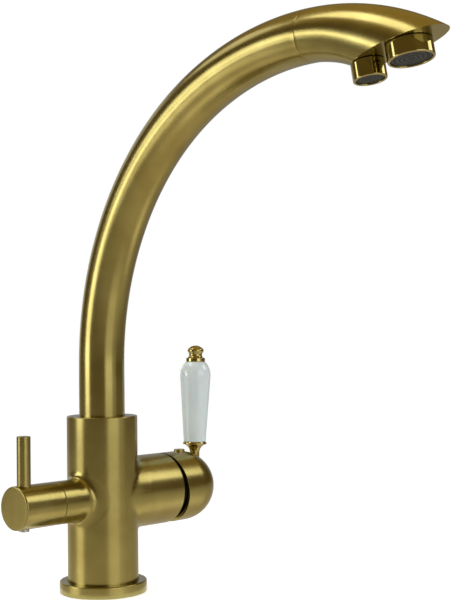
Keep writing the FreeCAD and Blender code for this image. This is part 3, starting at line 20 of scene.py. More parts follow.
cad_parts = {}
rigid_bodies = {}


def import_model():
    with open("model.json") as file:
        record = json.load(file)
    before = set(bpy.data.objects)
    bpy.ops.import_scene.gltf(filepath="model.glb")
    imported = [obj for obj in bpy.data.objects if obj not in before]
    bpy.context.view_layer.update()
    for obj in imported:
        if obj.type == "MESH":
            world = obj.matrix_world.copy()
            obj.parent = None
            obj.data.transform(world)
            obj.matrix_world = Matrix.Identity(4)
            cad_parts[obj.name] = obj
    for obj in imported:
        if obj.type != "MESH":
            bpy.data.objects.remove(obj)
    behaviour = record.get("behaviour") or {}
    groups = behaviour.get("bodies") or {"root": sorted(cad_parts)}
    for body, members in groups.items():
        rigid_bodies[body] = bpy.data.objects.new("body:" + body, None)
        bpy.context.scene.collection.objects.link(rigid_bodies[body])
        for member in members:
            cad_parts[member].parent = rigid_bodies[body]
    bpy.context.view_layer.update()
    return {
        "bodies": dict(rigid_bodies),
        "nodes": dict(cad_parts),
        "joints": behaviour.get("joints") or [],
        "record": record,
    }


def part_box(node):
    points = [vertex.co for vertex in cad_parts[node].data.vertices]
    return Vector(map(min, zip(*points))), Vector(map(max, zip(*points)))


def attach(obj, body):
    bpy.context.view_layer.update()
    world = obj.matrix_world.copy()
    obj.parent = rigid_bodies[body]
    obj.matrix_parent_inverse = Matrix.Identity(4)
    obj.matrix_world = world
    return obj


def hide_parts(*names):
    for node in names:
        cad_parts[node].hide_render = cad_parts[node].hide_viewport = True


LOG = logging.getLogger("tap")
MM = 0.001
FULL_TURN = 2 * math.pi
NEAR = 0.01  # points closer than this, in millimetres, count as one place
SAME = 1e-4  # points closer than this, in millimetres, are welded
CAP_CORNERS = 12  # a face with more corners than this closes a tube's end

Mesh = bmesh.types.BMesh
Vert = bmesh.types.BMVert
Edge = bmesh.types.BMEdge
Material = bpy.types.Material
Tree = bpy.types.NodeTree
Socket = bpy.types.NodeSocket
Pair = tuple[float, float]
Profile = list[Pair]
Triple = tuple[float, float, float]


class Way(Enum):
    """The directions in which a turned piece's own axis can lie."""

    UP = "up"
    DOWN = "down"
    MIXER = "mixer"
    FILTER = "filter"
    BACK = "back"


TURNS = {
    Way.UP: Matrix.Identity(4),
    Way.DOWN: Matrix.Rotation(math.pi, 4, "X"),
    Way.MIXER: Matrix.Rotation(math.pi / 2, 4, "Y"),
    Way.FILTER: Matrix.Rotation(-math.pi / 2, 4, "Y"),
    Way.BACK: Matrix.Rotation(-math.pi / 2, 4, "X"),
}


def posed(way: Way, x: float = 0.0, y: float = 0.0, z: float = 0.0) -> Matrix:
    """Gives the matrix in millimetres that turns a piece's own axis and moves it to x, y, z."""
    return Matrix.Translation((x, y, z)) @ TURNS[way]


# Finishes
# ========


def shade(code: str) -> tuple[float, float, float, float]:
    """Turns an sRGB hex colour into the linear colour that the shader takes.

    Args:
        code: The colour as #RRGGBB.

    Returns:
        Its linear channels and an alpha of 1.
    """
    channels = [int(code[i : i + 2], 16) / 255 for i in (1, 3, 5)]
    linear = [c / 12.92 if c <= 0.04045 else ((c + 0.055) / 1.055) ** 2.4 for c in channels]
    return (*linear, 1.0)


def add(
    tree: Tree, kind: str, inputs: dict[str | int, Any] | None = None, **settings: str
) -> bpy.types.Node:
    """Adds a node with its settings, values and links.

    Args:
        tree: The node tree that takes it.
        kind: The node's type name.
        inputs: Values or output sockets by the name or number of the input.
        settings: Properties of the node itself.

    Returns:
        The new node.
    """
    node = tree.nodes.new(kind)
    for name, setting in settings.items():
        setattr(node, name, setting)
    for name, given in (inputs or {}).items():
        if isinstance(given, Socket):
            tree.links.new(given, node.inputs[name])
        else:
            node.inputs[name].default_value = given
    return node


def new_tree(name: str) -> tuple[Material, Tree]:
    """Makes an empty node material.

    Args:
        name: The material's name.

    Returns:
        The material and its node tree.
    """
    material = bpy.data.materials.new(name)
    material.use_nodes = True
    material.node_tree.nodes.clear()
    return material, material.node_tree


def grain(tree: Tree, size: float, stretch: Triple, detail: float) -> Socket:
    """Adds a noise whose grain has a real size.

    Args:
        tree: The node tree that takes it.
        size: The grain's size in millimetres, across its finest direction.
        stretch: How fine the grain is along X, Y and Z, where 1 is that size.
        detail: The noise's levels of detail.

    Returns:
        The noise's value.
    """
    place = add(tree, "ShaderNodeTexCoord").outputs["Object"]
    turned = add(tree, "ShaderNodeMapping", {"Vector": place, "Scale": stretch}).outputs[0]
    values = {"Vector": turned, "Scale": 1 / (size * MM), "Detail": detail, "Roughness": 0.55}
    return add(tree, "ShaderNodeTexNoise", values).outputs["Fac"]


def span(tree: Tree, source: Socket, low: float, high: float) -> Socket:
    """Spreads a noise, which mostly lies between 0.3 and 0.7, from low to high."""
    bounds = {"Value": source, "From Min": 0.3, "From Max": 0.7, "To Min": low, "To Max": high}
    return add(tree, "ShaderNodeMapRange", bounds).outputs["Result"]


def tint(tree: Tree, source: Socket, first: str, second: str) -> Socket:
    """Mixes two hex colours by a noise."""
    values = {0: source, 6: shade(first), 7: shade(second)}
    return add(tree, "ShaderNodeMix", values, data_type="RGBA").outputs[2]


def close(tree: Tree, shader: bpy.types.Node) -> None:
    """Joins a shader to the material's output."""
    add(tree, "ShaderNodeOutputMaterial", {"Surface": shader.outputs[0]})


AROUND_Z = (0.03, 0.03, 1.0)
AROUND_X = (1.0, 0.03, 0.03)
EVEN = (1.0, 1.0, 1.0)


@dataclass(frozen=True)
class Finish:
    """A surface of two close colours with a fine pattern of a real size.

    Attributes:
        name: The material's name.
        slot: The record's material slot that it stands for.
        light: The main colour.
        dark: The colour that it drifts to.
        roughness: The mean roughness.
        spread: How far roughness varies.
        pattern: The spacing of the lines or the grain in millimetres.
        relief: The strength of the pattern's relief.
        stretch: The direction of the lines, finest along the largest value.
        depth: The depth of the relief in millimetres.
        cloud: The size in millimetres of the drift between the colours.
    """

    name: str
    slot: str
    light: str
    dark: str
    roughness: float
    spread: float
    pattern: float
    relief: float
    stretch: Triple = EVEN
    depth: float = 0.02
    cloud: float = 22.0

    def substance(self) -> dict[str, float]:
        """Gives the shader's constants, none for a plain surface."""
        return {}

    @cache
    def build(self) -> Material:
        """Builds the material the first time that it is asked for.

        Returns:
            The material, with its pattern on Object coordinates.
        """
        material, tree = new_tree(self.name)
        fine = grain(tree, self.pattern, self.stretch, 3.0)
        drift = span(tree, grain(tree, self.cloud, EVEN, 2.0), 0.0, 1.0)
        rough = span(tree, fine, self.roughness - self.spread, self.roughness + self.spread)
        relief = {"Height": fine, "Strength": self.relief, "Distance": self.depth * MM}
        values = {
            "Base Color": tint(tree, drift, self.light, self.dark),
            "Roughness": rough,
            "Normal": add(tree, "ShaderNodeBump", relief).outputs[0],
            **self.substance(),
        }
        close(tree, add(tree, "ShaderNodeBsdfPrincipled", values))
        return material


@dataclass(frozen=True)
class Metal(Finish):
    """A metal surface with fine tool or brushing lines."""

    def substance(self) -> dict[str, float]:
        """Gives what makes the shader a metal, which keeps the default IOR."""
        return {"Metallic": 1.0}


@dataclass(frozen=True)
class Moulding(Finish):
    """A plastic, rubber or ceramic surface.

    Attributes:
        coat: The weight of a clear glaze over it.
        glow: How far light goes into it.
    """

    depth: float = 0.03
    cloud: float = 15.0
    coat: float = 0.0
    glow: float = 0.0

    def substance(self) -> dict[str, float]:
        """Gives the shader's constants.

        Returns:
            The values by the name of the shader's input.
        """
        values = {"IOR": 1.5, "Coat Weight": self.coat, "Coat Roughness": 0.04}
        if self.glow:
            values |= {"Subsurface Weight": 0.35, "Subsurface Scale": self.glow * MM}
        return values


# Satin brass: lacquered brass, brushed round the piece. The brushing spreads each highlight into a
# soft band. Its lines are drawn at 0.9 mm, coarser than the real 0.1 mm, so that they show. On the
# neck and the beak, which bend, an even and very faint 3 mm pattern stands for them.
SATIN = ("brushed_brass", "#ABA063", "#9C9055")
SATIN_UPRIGHT = Metal("satin_brass_upright", *SATIN, 0.24, 0.03, 0.9, 0.12, AROUND_Z)
SATIN_ACROSS = Metal("satin_brass_across", *SATIN, 0.24, 0.03, 0.9, 0.12, AROUND_X)
SATIN_EVEN = Metal("satin_brass_swept", *SATIN, 0.22, 0.01, 3.0, 0.01)
# Polished brass: buffed smooth, so that it mirrors the room in hard light and dark patches.
POLISHED = Metal("polished_brass", "polished_brass", "#BCB073", "#AB9E62", 0.09, 0.02, 0.5, 0.02)
# Turned brass: bare brass off the lathe, brighter and yellower, with a visible tool grain.
TURNED = Metal("turned_brass", "raw_brass", "#D9C07A", "#C9AE66", 0.3, 0.05, 0.5, 0.1)
# Stainless steel: machined screws and pins, grey with a fine grain.
STEEL = Metal("stainless_steel", "steel", "#C4C4C2", "#B2B2B0", 0.28, 0.05, 0.4, 0.08)
# Porcelain: fired white clay under a clear glaze, which gives one sharp gloss over soft depth.
WHITE = ("glazed_porcelain", "porcelain", "#E3EDEB", "#DDE8E8")
PORCELAIN = Moulding(*WHITE, 0.22, 0.033, 1.2, 0.03, coat=1.0, glow=1.2)
# Alumina: lapped flat, so that it is smooth and slightly cream.
ALUMINA = Moulding("lapped_alumina", "ceramic", "#EFEDE6", "#E6E3DA", 0.2, 0.03, 0.6, 0.03)
# Acetal: white moulded bearings and cartridge shells with a dull sheen.
ACETAL = Moulding("moulded_acetal", "white_plastic", "#E4E3DE", "#DAD9D3", 0.45, 0.0675, 0.5, 0.1)
# ABS: dark moulded plastic, grey with a dull sheen on the outlets' inserts. In the slit it is a
# near black copy, which is painted shade for the shade inside the slit.
DARK_ABS = Moulding("dark_abs", "dark_plastic", "#2F3331", "#2A2D2C", 0.5, 0.075, 0.4, 0.15)
SLIT_SHADE_ABS = Moulding("abs_painted_slit_shade", "dark_plastic", "#0E0D0B", "#15130F", 0.6, 0.09, 0.4, 0.15)
# Nitrile rubber: black and matt.
NITRILE = Moulding("nitrile_rubber", "black_rubber", "#1B1B1B", "#222222", 0.7, 0.105, 0.3, 0.2)
# Cross-linked polyethylene: the milky inner tube.
MILKY = ("polyethylene_tube", "tube_plastic", "#D5D9DC", "#CBD0D4")
POLYETHYLENE = Moulding(*MILKY, 0.4, 0.06, 0.5, 0.05)


# Meshes
# ======


def round_edges(mesh: Mesh, edges: Sequence[Edge], width: float, segments: int = 3) -> None:
    """Rounds edges off.

    Args:
        mesh: The mesh that they belong to.
        edges: The edges.
        width: How far the rounding reaches from each edge.
        segments: The rounding's steps.
    """
    bmesh.ops.bevel(
        mesh,
        geom=edges,
        offset=width,
        offset_type="OFFSET",
        segments=segments,
        profile=0.5,
        affect="EDGES",
        material=-1,
        clamp_overlap=True,
    )


def rim(mesh: Mesh, radius: float, height: float) -> list[Edge]:
    """Finds the edges of a turned mesh that make one of its circles.

    Args:
        mesh: The mesh, turned about the Z axis.
        radius: The circle's radius.
        height: Its height.

    Returns:
        The circle's edges.
    """
    on_circle = {
        vertex
        for vertex in mesh.verts
        if abs(vertex.co.xy.length - radius) < NEAR and abs(vertex.co.z - height) < NEAR
    }
    return [edge for edge in mesh.edges if on_circle.issuperset(edge.verts)]


def turn(
    profile: Profile, rounds: Sequence[Triple] = (), steps: int = 128, closed: bool = False
) -> Mesh:
    """Turns a profile about the Z axis.

    Args:
        profile: (radius, height) points.
        rounds: (radius, height, width) of each edge to round off.
        steps: The steps round the axis.
        closed: Whether the profile's last point joins its first.

    Returns:
        The closed mesh.
    """
    mesh = bmesh.new()
    line = [mesh.verts.new((radius, 0, height)) for radius, height in profile]
    pairs = list(zip(line, line[1:])) + ([(line[-1], line[0])] if closed else [])
    edges = [mesh.edges.new(pair) for pair in pairs]
    bmesh.ops.spin(
        mesh,
        geom=line + edges,
        cent=(0, 0, 0),
        axis=(0, 0, 1),
        angle=FULL_TURN,
        steps=steps,
        use_merge=True,
    )
    bmesh.ops.remove_doubles(mesh, verts=mesh.verts, dist=SAME)
    bmesh.ops.recalc_face_normals(mesh, faces=mesh.faces)
    for radius, height, width in rounds:
        round_edges(mesh, rim(mesh, radius, height), width)
    return mesh


def arc(start: Pair, end: Pair, radius: float, side: int, steps: int) -> Profile:
    """Gives points along an arc between two profile points, without its start.

    Args:
        start: The arc's first point.
        end: Its last point.
        radius: Its radius.
        side: 1 where its centre lies to the left of the way from start to end, else -1.
        steps: The number of points.

    Returns:
        The points, the last of them the end.
    """
    first, last = Vector(start), Vector(end)
    chord = last - first
    rise = math.sqrt(max(radius**2 - (chord.length / 2) ** 2, 0.0))
    left = Vector((-chord.y, chord.x)).normalized()
    centre = (first + last) / 2 + left * rise * side
    spoke = first - centre
    sweep = spoke.angle_signed(last - centre)
    points = []
    for step in range(1, steps + 1):
        point = centre + Matrix.Rotation(-sweep * step / steps, 2) @ spoke
        points.append((point.x, point.y))
    return points


def cut_off(mesh: Mesh, point: Sequence[float], outward: Sequence[float]) -> list[Edge]:
    """Cuts away what lies beyond a plane.

    Args:
        mesh: The mesh.
        point: A point of the plane.
        outward: The direction of what goes.

    Returns:
        The edges of the cut.
    """
    whole = mesh.verts[:] + mesh.edges[:] + mesh.faces[:]
    cut = bmesh.ops.bisect_plane(
        mesh, geom=whole, plane_co=point, plane_no=outward, clear_outer=True
    )
    return [e for e in cut["geom_cut"] if isinstance(e, Edge)]


def spent(mesh: Mesh, name: str) -> bpy.types.Mesh:
    """Turns a bmesh into an object's mesh, shaded smooth.

    Args:
        mesh: The bmesh, which is used up.
        name: The new mesh's name.

    Returns:
        The new mesh.
    """
    for face in mesh.faces:
        face.smooth = True
    data = bpy.data.meshes.new(name)
    mesh.to_mesh(data)
    mesh.free()
    return data


def linked(name: str, data: bpy.types.ID) -> bpy.types.Object:
    """Makes an object and puts it in the scene.

    Args:
        name: Its name.
        data: Its mesh, lamp or camera.

    Returns:
        The object.
    """
    thing = bpy.data.objects.new(name, data)
    bpy.context.scene.collection.objects.link(thing)
    return thing


def united(first: Mesh, second: Mesh) -> Mesh:
    """Joins two closed meshes into one skin.

    Args:
        first: The mesh that is added to, which is used up.
        second: The mesh that is added, which is used up.

    Returns:
        The joined mesh.
    """
    stem, added = [linked("joined", spent(mesh, "joined")) for mesh in (first, second)]
    modifier = stem.modifiers.new("join", "BOOLEAN")
    modifier.operation = "UNION"
    modifier.solver = "EXACT"
    modifier.object = added
    graph = bpy.context.evaluated_depsgraph_get()
    made = bpy.data.meshes.new_from_object(stem.evaluated_get(graph))
    whole = bmesh.new()
    whole.from_mesh(made)
    for data in (stem.data, added.data, made):
        bpy.data.meshes.remove(data)
    return whole


class Assembly:
    """A group of pieces that are made and fitted together."""

    def piece(
        self,
        mesh: Mesh,
        name: str,
        body: str,
        finish: Finish,
        node: str,
        at: Matrix = TURNS[Way.UP],
        crease: float = 35.0,
    ) -> None:
        """Turns a mesh in millimetres into a finished piece.

        Args:
            mesh: The mesh, which is used up.
            name: The piece's name.
            body: The moving body that carries it.
            finish: Its finish.
            node: The CAD node that it replaces.
            at: Where it goes.
            crease: The angle in degrees above which an edge stays sharp.
        """
        bmesh.ops.transform(mesh, matrix=Matrix.Scale(MM, 4) @ at, verts=mesh.verts)
        data = spent(mesh, name)
        data.set_sharp_from_angle(angle=math.radians(crease))
        data.materials.append(finish.build())
        thing = linked(name, data)
        evener = thing.modifiers.new("even_shading", "WEIGHTED_NORMAL")
        evener.keep_sharp = True
        evener.weight = 60
        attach(thing, body)
        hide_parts(node)
        LOG.info("%s: %d faces on %s", name, len(data.polygons), body)


# Sub-assemblies, in millimetres
# ==============================


@dataclass(frozen=True)
class Branch:
    """The sizes of a branch of the column.

    Attributes:
        side: 1 where it points along +X, -1 along -X.
        height: The height of its axis.
        radius: Its full radius.
        rim: Where it ends, from the column's axis.
        bore: The radius of its open end.
        depth: The depth of that opening.
        fillet: The radius of the fillet at its root.
    """

    side: int
    height: float
    radius: float
    rim: float
    bore: float
    depth: float
    fillet: float


MIXER_BRANCH = Branch(1, 60.5, 23.2, 51.2, 20.6, 6.0, 5.0)
FILTER_BRANCH = Branch(-1, 59.85, 13.3, 40.0, 9.0, 5.0, 4.0)


@dataclass
class Column(Assembly):
    """The flange and the column with its two branches.

    The skin at each branch's root is laid on a ball that rolls along the junction and is then
    smoothed, which gives the soft fillet of a casting that was blended by hand.

    Attributes:
        growth: How far from the column's axis a branch comes to its full radius.
        skin: How far under a surface a point still counts as on it, before and after smoothing.
        soft_reach: How far the smoothing reaches, in radii of the fillet.
    """

    radius: float = 22.5
    top: float = 111.7
    foot: float = 20.0
    flange_radius: float = 27.75
    flange_height: float = 7.4
    recess: float = 0.6
    recess_width: float = 0.3
    flange_rounds: Triple = (0.9, 0.4, 0.2)
    socket: float = 14.8
    socket_depth: float = 20.0
    top_rounds: Pair = (0.7, 0.3)
    branch_round: float = 0.2
    play: float = 0.1
    slimmer: float = 0.4
    growth: float = 18.0
    rings_from: float = 28.0
    rings: int = 82
    branch_rings: int = 40
    spacing: float = 0.8
    skin: Pair = (0.1, 0.3)
    weld: float = 0.12
    soft_reach: float = 1.6
    soft_rounds: int = 26
    steps: int = 200
    screw_radius: float = 2.5
    screw_span: Pair = (14.7, 20.7)
    screw_key: Pair = (1.3, 18.9)
    screw_round: float = 0.2
    ball_tries: int = 6

    def build(self) -> None:
        """Builds the flange, the column and the screw at its back."""
        self.build_flange()
        self.build_column()
        self.build_screw()

    def build_flange(self) -> None:
        """Turns the flange ring, with its rounded rim and the shallow step round the column."""
        outer, height = self.flange_radius, self.flange_height
        step, low = self.radius + self.recess_width, height - self.recess
        bore = self.foot + self.play
        over, under, inside = self.flange_rounds
        ring = turn(
            [(bore, 0), (outer, 0), (outer, height), (step, height), (step, low), (bore, low)],
            [(outer, height, over), (outer, 0, under), (step, height, inside)],
            steps=160,
            closed=True,
        )
        self.piece(ring, "flange", "tap", SATIN_UPRIGHT, "base_flange")

    def branch_radius(self, branch: Branch, reach: float) -> float:
        """Gives the radius of a branch, which starts a little slimmer than the column.

        Args:
            branch: The branch.
            reach: The distance from the column's axis.

        Returns:
            The radius there.
        """
        start = min(branch.radius, self.radius - self.slimmer)
        share = min(abs(reach) / self.growth, 1.0)
        return start + (branch.radius - start) * share**2 * (3 - 2 * share)

    def turn_branch(self, branch: Branch, way: Way) -> Mesh:
        """Turns a branch that grows out of the column, open at its end.

        Args:
            branch: The branch.
            way: Where it points.

        Returns:
            The closed mesh, in its place.
        """
        floor = branch.rim - branch.depth
        start = self.growth / 5
        reaches = [start + self.spacing * step for step in range(self.branch_rings)]
        profile = [(0, 0), (self.branch_radius(branch, 0), 0)]
        profile += [(self.branch_radius(branch, r), r) for r in reaches if r < branch.rim - 1]
        profile += [(branch.radius, branch.rim), (branch.bore, branch.rim)]
        profile += [(branch.bore, floor), (0, floor)]
        rounds = [(r, branch.rim, self.branch_round) for r in (branch.radius, branch.bore)]
        mesh = turn(profile, rounds, self.steps)
        bmesh.ops.transform(mesh, matrix=posed(way, z=branch.height), verts=mesh.verts)
        return mesh

    def build_column(self) -> None:
        """Joins the trunk and the branches and runs a fillet round each junction."""
        low, floor = self.flange_height - self.recess, self.top - self.socket_depth
        profile = [(0, 0), (self.foot, 0), (self.foot, low), (self.radius, low)]
        heights = [self.rings_from + self.spacing * step for step in range(self.rings)]
        profile += [(self.radius, height) for height in heights]
        profile += [(self.radius, self.top), (self.socket, self.top)]
        profile += [(self.socket, floor), (0, floor)]
        outside, inside = self.top_rounds
        rounds = [(self.radius, self.top, outside), (self.socket, self.top, inside)]
        column = turn(profile, rounds, self.steps)
        for branch, way in ((MIXER_BRANCH, Way.MIXER), (FILTER_BRANCH, Way.FILTER)):
            column = united(column, self.turn_branch(branch, way))
        for branch in (MIXER_BRANCH, FILTER_BRANCH):
            self.blend(column, branch)
        self.piece(column, "column", "tap", SATIN_UPRIGHT, "tap_body", crease=55.0)

    def blend(self, mesh: Mesh, branch: Branch) -> None:
        """Lays the skin near a branch's root on the rolling ball and smooths it.

        Args:
            mesh: The joined column.
            branch: The branch.
        """
        near = []
        for vertex in mesh.verts:
            placed = self.on_ball(vertex.co, branch)
            if placed is not None:
                vertex.co = placed
                near.append(vertex)
        LOG.info("points in the fillet of the branch at %.1f: %d", branch.height, len(near))
        bmesh.ops.remove_doubles(mesh, verts=near, dist=self.weld)
        low, high = -self.skin[1], branch.fillet * self.soft_reach
        soft = []
        for vertex in mesh.verts:
            off_trunk, off_branch, _, _ = self.offsets(vertex.co, branch)
            within = low < off_trunk < high and low < off_branch < high
            if within and vertex.co.x * branch.side > 1:
                soft.append(vertex)
        for _ in range(self.soft_rounds):
            bmesh.ops.smooth_vert(
                mesh, verts=soft, factor=0.5, use_axis_x=True, use_axis_y=True, use_axis_z=True
            )

    def offsets(self, point: Vector, branch: Branch) -> tuple[float, float, Vector, Vector]:
        """Measures how far a point is off the column and off a branch.

        Args:
            point: The point.
            branch: The branch.

        Returns:
            Both distances and both outward directions.
        """
        outward = Vector((point.x, point.y, 0.0))
        upright = Vector((0.0, point.y, point.z - branch.height))
        off_trunk = outward.length - self.radius
        off_branch = upright.length - self.branch_radius(branch, point.x)
        return off_trunk, off_branch, outward.normalized(), upright.normalized()

    def on_ball(self, point: Vector, branch: Branch) -> Vector | None:
        """Finds where a point of the skin comes to lie on the rolling ball.

        Args:
            point: The point.
            branch: The branch.

        Returns:
            The point on the ball, or None where the ball doesn't cover it.
        """
        fillet, least = branch.fillet, -self.skin[0]
        off_trunk, off_branch, outward, upright = self.offsets(point, branch)
        inside = least < off_trunk < fillet and least < off_branch < fillet
        if point.x * branch.side < 0.5 or not inside:
            return None
        centre = point.copy()
        for _ in range(self.ball_tries):
            off_trunk, off_branch, outward, upright = self.offsets(centre, branch)
            lean = outward.dot(upright)
            slack = 1 - lean**2
            if slack < 0.02:
                return None
            first, second = fillet - off_trunk, fillet - off_branch
            centre += outward * ((first - lean * second) / slack)
            centre += upright * ((second - lean * first) / slack)
            way = outward.cross(upright).normalized()
            centre += way * (point - centre).dot(way)
        spoke = point - centre
        first, second = spoke.dot(outward), spoke.dot(upright)
        if first - lean * second >= 0 or second - lean * first >= 0:
            return None
        return centre + spoke * (fillet / spoke.length)

    def build_screw(self) -> None:
        """Turns the grub screw that keeps the spout in its socket."""
        radius, (start, end), (key, floor) = self.screw_radius, self.screw_span, self.screw_key
        profile = [(0, start), (radius, start), (radius, end), (key, end), (key, floor), (0, floor)]
        screw = turn(profile, [(radius, end, self.screw_round)], steps=48)
        low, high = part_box("spout_retaining_screw")
        at = posed(Way.BACK, z=(low.z + high.z) / 2 / MM)
        self.piece(screw, "retaining_screw", "tap", STEEL, "spout_retaining_screw", at)


def bend_spoke(angle: float) -> Vector:
    """Gives the direction from a bend's centre to where it has turned by an angle in degrees."""
    return Vector((-math.cos(math.radians(angle)), 0, math.sin(math.radians(angle))))


@dataclass
class Spout(Assembly):
    """The swan neck, in its own plane and then swung about the column.

    Its angles are in degrees, from straight up.
    """

    radius: float = 14.5
    swing: float = 4.8
    foot: float = 106.0
    rise_top: float = 144.4
    bend_radius: float = 176.0
    bend_angle: float = 66.1
    crown_radius: float = 195.0
    seam_turn: float = 92.0
    seam_round: float = 0.35
    segments: int = 96
    bend_steps: tuple[int, int] = (56, 24)

    @property
    def swung(self) -> Matrix:
        """The matrix that swings the spout's plane to where it stands."""
        return Matrix.Rotation(math.radians(-90 - self.swing), 4, "Z")

    @property
    def bend(self) -> Vector:
        """The centre of the main bend."""
        return Vector((self.bend_radius, 0, self.rise_top))

    @property
    def crown(self) -> Vector:
        """The centre of the crown's bend, on the spoke where the main bend ends."""
        return self.bend + bend_spoke(self.bend_angle) * (self.bend_radius - self.crown_radius)

    @property
    def seam(self) -> Vector:
        """The point where the tube meets the beak."""
        return self.crown + bend_spoke(self.seam_turn) * self.crown_radius

    def build(self) -> None:
        """Sweeps a circle up the tube and round its two bends."""
        mesh = bmesh.new()
        foot = Matrix.Translation((0, 0, self.foot))
        bmesh.ops.create_circle(mesh, segments=self.segments, radius=self.radius, matrix=foot)
        raised = bmesh.ops.extrude_edge_only(mesh, edges=mesh.edges[:])["geom"]
        ring = [v for v in raised if isinstance(v, Vert)]
        edges = [e for e in raised if isinstance(e, Edge)]
        bmesh.ops.translate(mesh, verts=ring, vec=(0, 0, self.rise_top - self.foot))
        bend_steps, crown_steps = self.bend_steps
        last = self.sweep(mesh, ring + edges, self.bend, self.bend_angle, bend_steps)
        self.sweep(mesh, last, self.crown, self.seam_turn - self.bend_angle, crown_steps)
        bmesh.ops.remove_doubles(mesh, verts=mesh.verts, dist=SAME)
        bmesh.ops.holes_fill(mesh, edges=[e for e in mesh.edges if e.is_boundary], sides=0)
        bmesh.ops.recalc_face_normals(mesh, faces=mesh.faces)
        caps = [f for f in mesh.faces if len(f.verts) > CAP_CORNERS]
        caps = [f for f in caps if f.calc_center_median().z > self.rise_top]
        round_edges(mesh, list({e for f in caps for e in f.edges}), self.seam_round, 2)
        self.piece(mesh, "swan_neck", "spout", SATIN_EVEN, "spout_tube", self.swung)

    def sweep(
        self, mesh: Mesh, section: list[Vert | Edge], centre: Vector, angle: float, steps: int
    ) -> list[Vert | Edge]:
        """Sweeps a section round a bend.

        Args:
            mesh: The mesh that grows.
            section: The section's points and edges.
            centre: The bend's centre.
            angle: How far it turns, in degrees.
            steps: The bend's steps.

        Returns:
            The section at the bend's end.
        """
        turned = math.radians(angle)
        swept = bmesh.ops.spin(
            mesh, geom=section, cent=centre, axis=(0, 1, 0), angle=turned, steps=steps
        )
        return swept["geom_last"]


@dataclass
class Beak(Assembly):
    """The spout's end: a hollow beak with a flat slanting underside.

    Its sections stand at shares of the back's arc, and heights and widths are their sizes.
    """

    spout: Spout
    back_radius: float = 190.0
    turn_angle: float = 30.0
    stations: int = 40
    shares: tuple[float, ...] = (0.0, 0.14, 0.28, 0.5, 0.75, 1.0)
    heights: tuple[float, ...] = (29.0, 29.7, 31.0, 34.0, 36.0, 36.0)
    widths: tuple[float, ...] = (29.0, 29.0, 29.0, 28.5, 28.25, 28.0)
    plane_reach: float = 250.0
    plane_height: float = 305.4
    plane_tilt: float = 11.0
    edge_round: float = 0.7

    def underside(self, reach: float) -> Vector:
        """Gives the underside plane's point at a distance from the column's axis."""
        climb = math.tan(math.radians(self.plane_tilt)) * (reach - self.plane_reach)
        return Vector((reach, 0, self.plane_height + climb))

    def size_at(self, share: float, values: tuple[float, ...]) -> float:
        """Reads a size between the beak's sections, along a smooth curve through them.

        Args:
            share: Where it is wanted, from 0 at the seam to 1.
            values: The size at each section.

        Returns:
            The size there.
        """
        last = len(self.shares) - 1
        index = next((i for i in range(last) if share <= self.shares[i + 1]), last - 1)
        low, high = self.shares[index], self.shares[index + 1]
        slopes = []
        for i in (index, index + 1):
            before, after = max(i - 1, 0), min(i + 1, last)
            run = self.shares[after] - self.shares[before]
            slopes.append((values[after] - values[before]) / run)
        if index == 0:
            slopes[0] = 0.0
        width = high - low
        t = (share - low) / width
        return (
            (2 * t**3 - 3 * t**2 + 1) * values[index]
            + (t**3 - 2 * t**2 + t) * width * slopes[0]
            + (-2 * t**3 + 3 * t**2) * values[index + 1]
            + (t**3 - t**2) * width * slopes[1]
        )

    def oval(self, share: float) -> Matrix:
        """Places one of the beak's sections.

        Args:
            share: Where it is, from 0 at the seam to 1.

        Returns:
            The matrix that makes a circle of radius 1 that section.
        """
        up = bend_spoke(self.spout.seam_turn)
        centre = self.spout.seam + up * (self.spout.radius - self.back_radius)
        heading = self.spout.seam_turn + self.turn_angle * share
        tall, wide = self.size_at(share, self.heights), self.size_at(share, self.widths)
        middle = centre + bend_spoke(heading) * (self.back_radius - tall / 2)
        turned = Matrix.Translation(middle) @ Matrix.Rotation(math.radians(heading), 4, "Y")
        return turned @ Matrix.Diagonal((tall / 2, wide / 2, 1, 1))

    def build(self) -> None:
        """Bridges ovals along the back's arc and cuts the underside flat."""
        mesh = bmesh.new()
        rings = []
        for station in range(self.stations + 1):
            oval = self.oval(station / self.stations)
            made = bmesh.ops.create_circle(
                mesh, segments=self.spout.segments, radius=1.0, matrix=oval
            )
            rings.append(list({e for v in made["verts"] for e in v.link_edges}))
        for first, second in zip(rings, rings[1:]):
            bmesh.ops.bridge_loops(mesh, edges=first + second)
        bmesh.ops.holes_fill(mesh, edges=[e for e in mesh.edges if e.is_boundary], sides=0)
        bmesh.ops.recalc_face_normals(mesh, faces=mesh.faces)
        tilt = math.radians(self.plane_tilt)
        down = Vector((math.sin(tilt), 0, -math.cos(tilt)))
        edges = cut_off(mesh, self.underside(self.plane_reach), down)
        bmesh.ops.holes_fill(mesh, edges=edges, sides=0)
        bmesh.ops.recalc_face_normals(mesh, faces=mesh.faces)
        flats = [f for f in mesh.faces if len(f.verts) > CAP_CORNERS]
        under = [f for f in flats if abs(f.normal.dot(down)) > 0.98]
        round_edges(mesh, list({e for f in under for e in f.edges}), self.edge_round, 4)
        flats = [f for f in mesh.faces if len(f.verts) > CAP_CORNERS]
        seams = [f for f in flats if abs(f.normal.dot(down)) < 0.6]
        round_edges(mesh, list({e for f in seams for e in f.edges}), self.spout.seam_round, 2)
        self.piece(mesh, "beak", "spout", SATIN_EVEN, "spout_head", self.spout.swung)


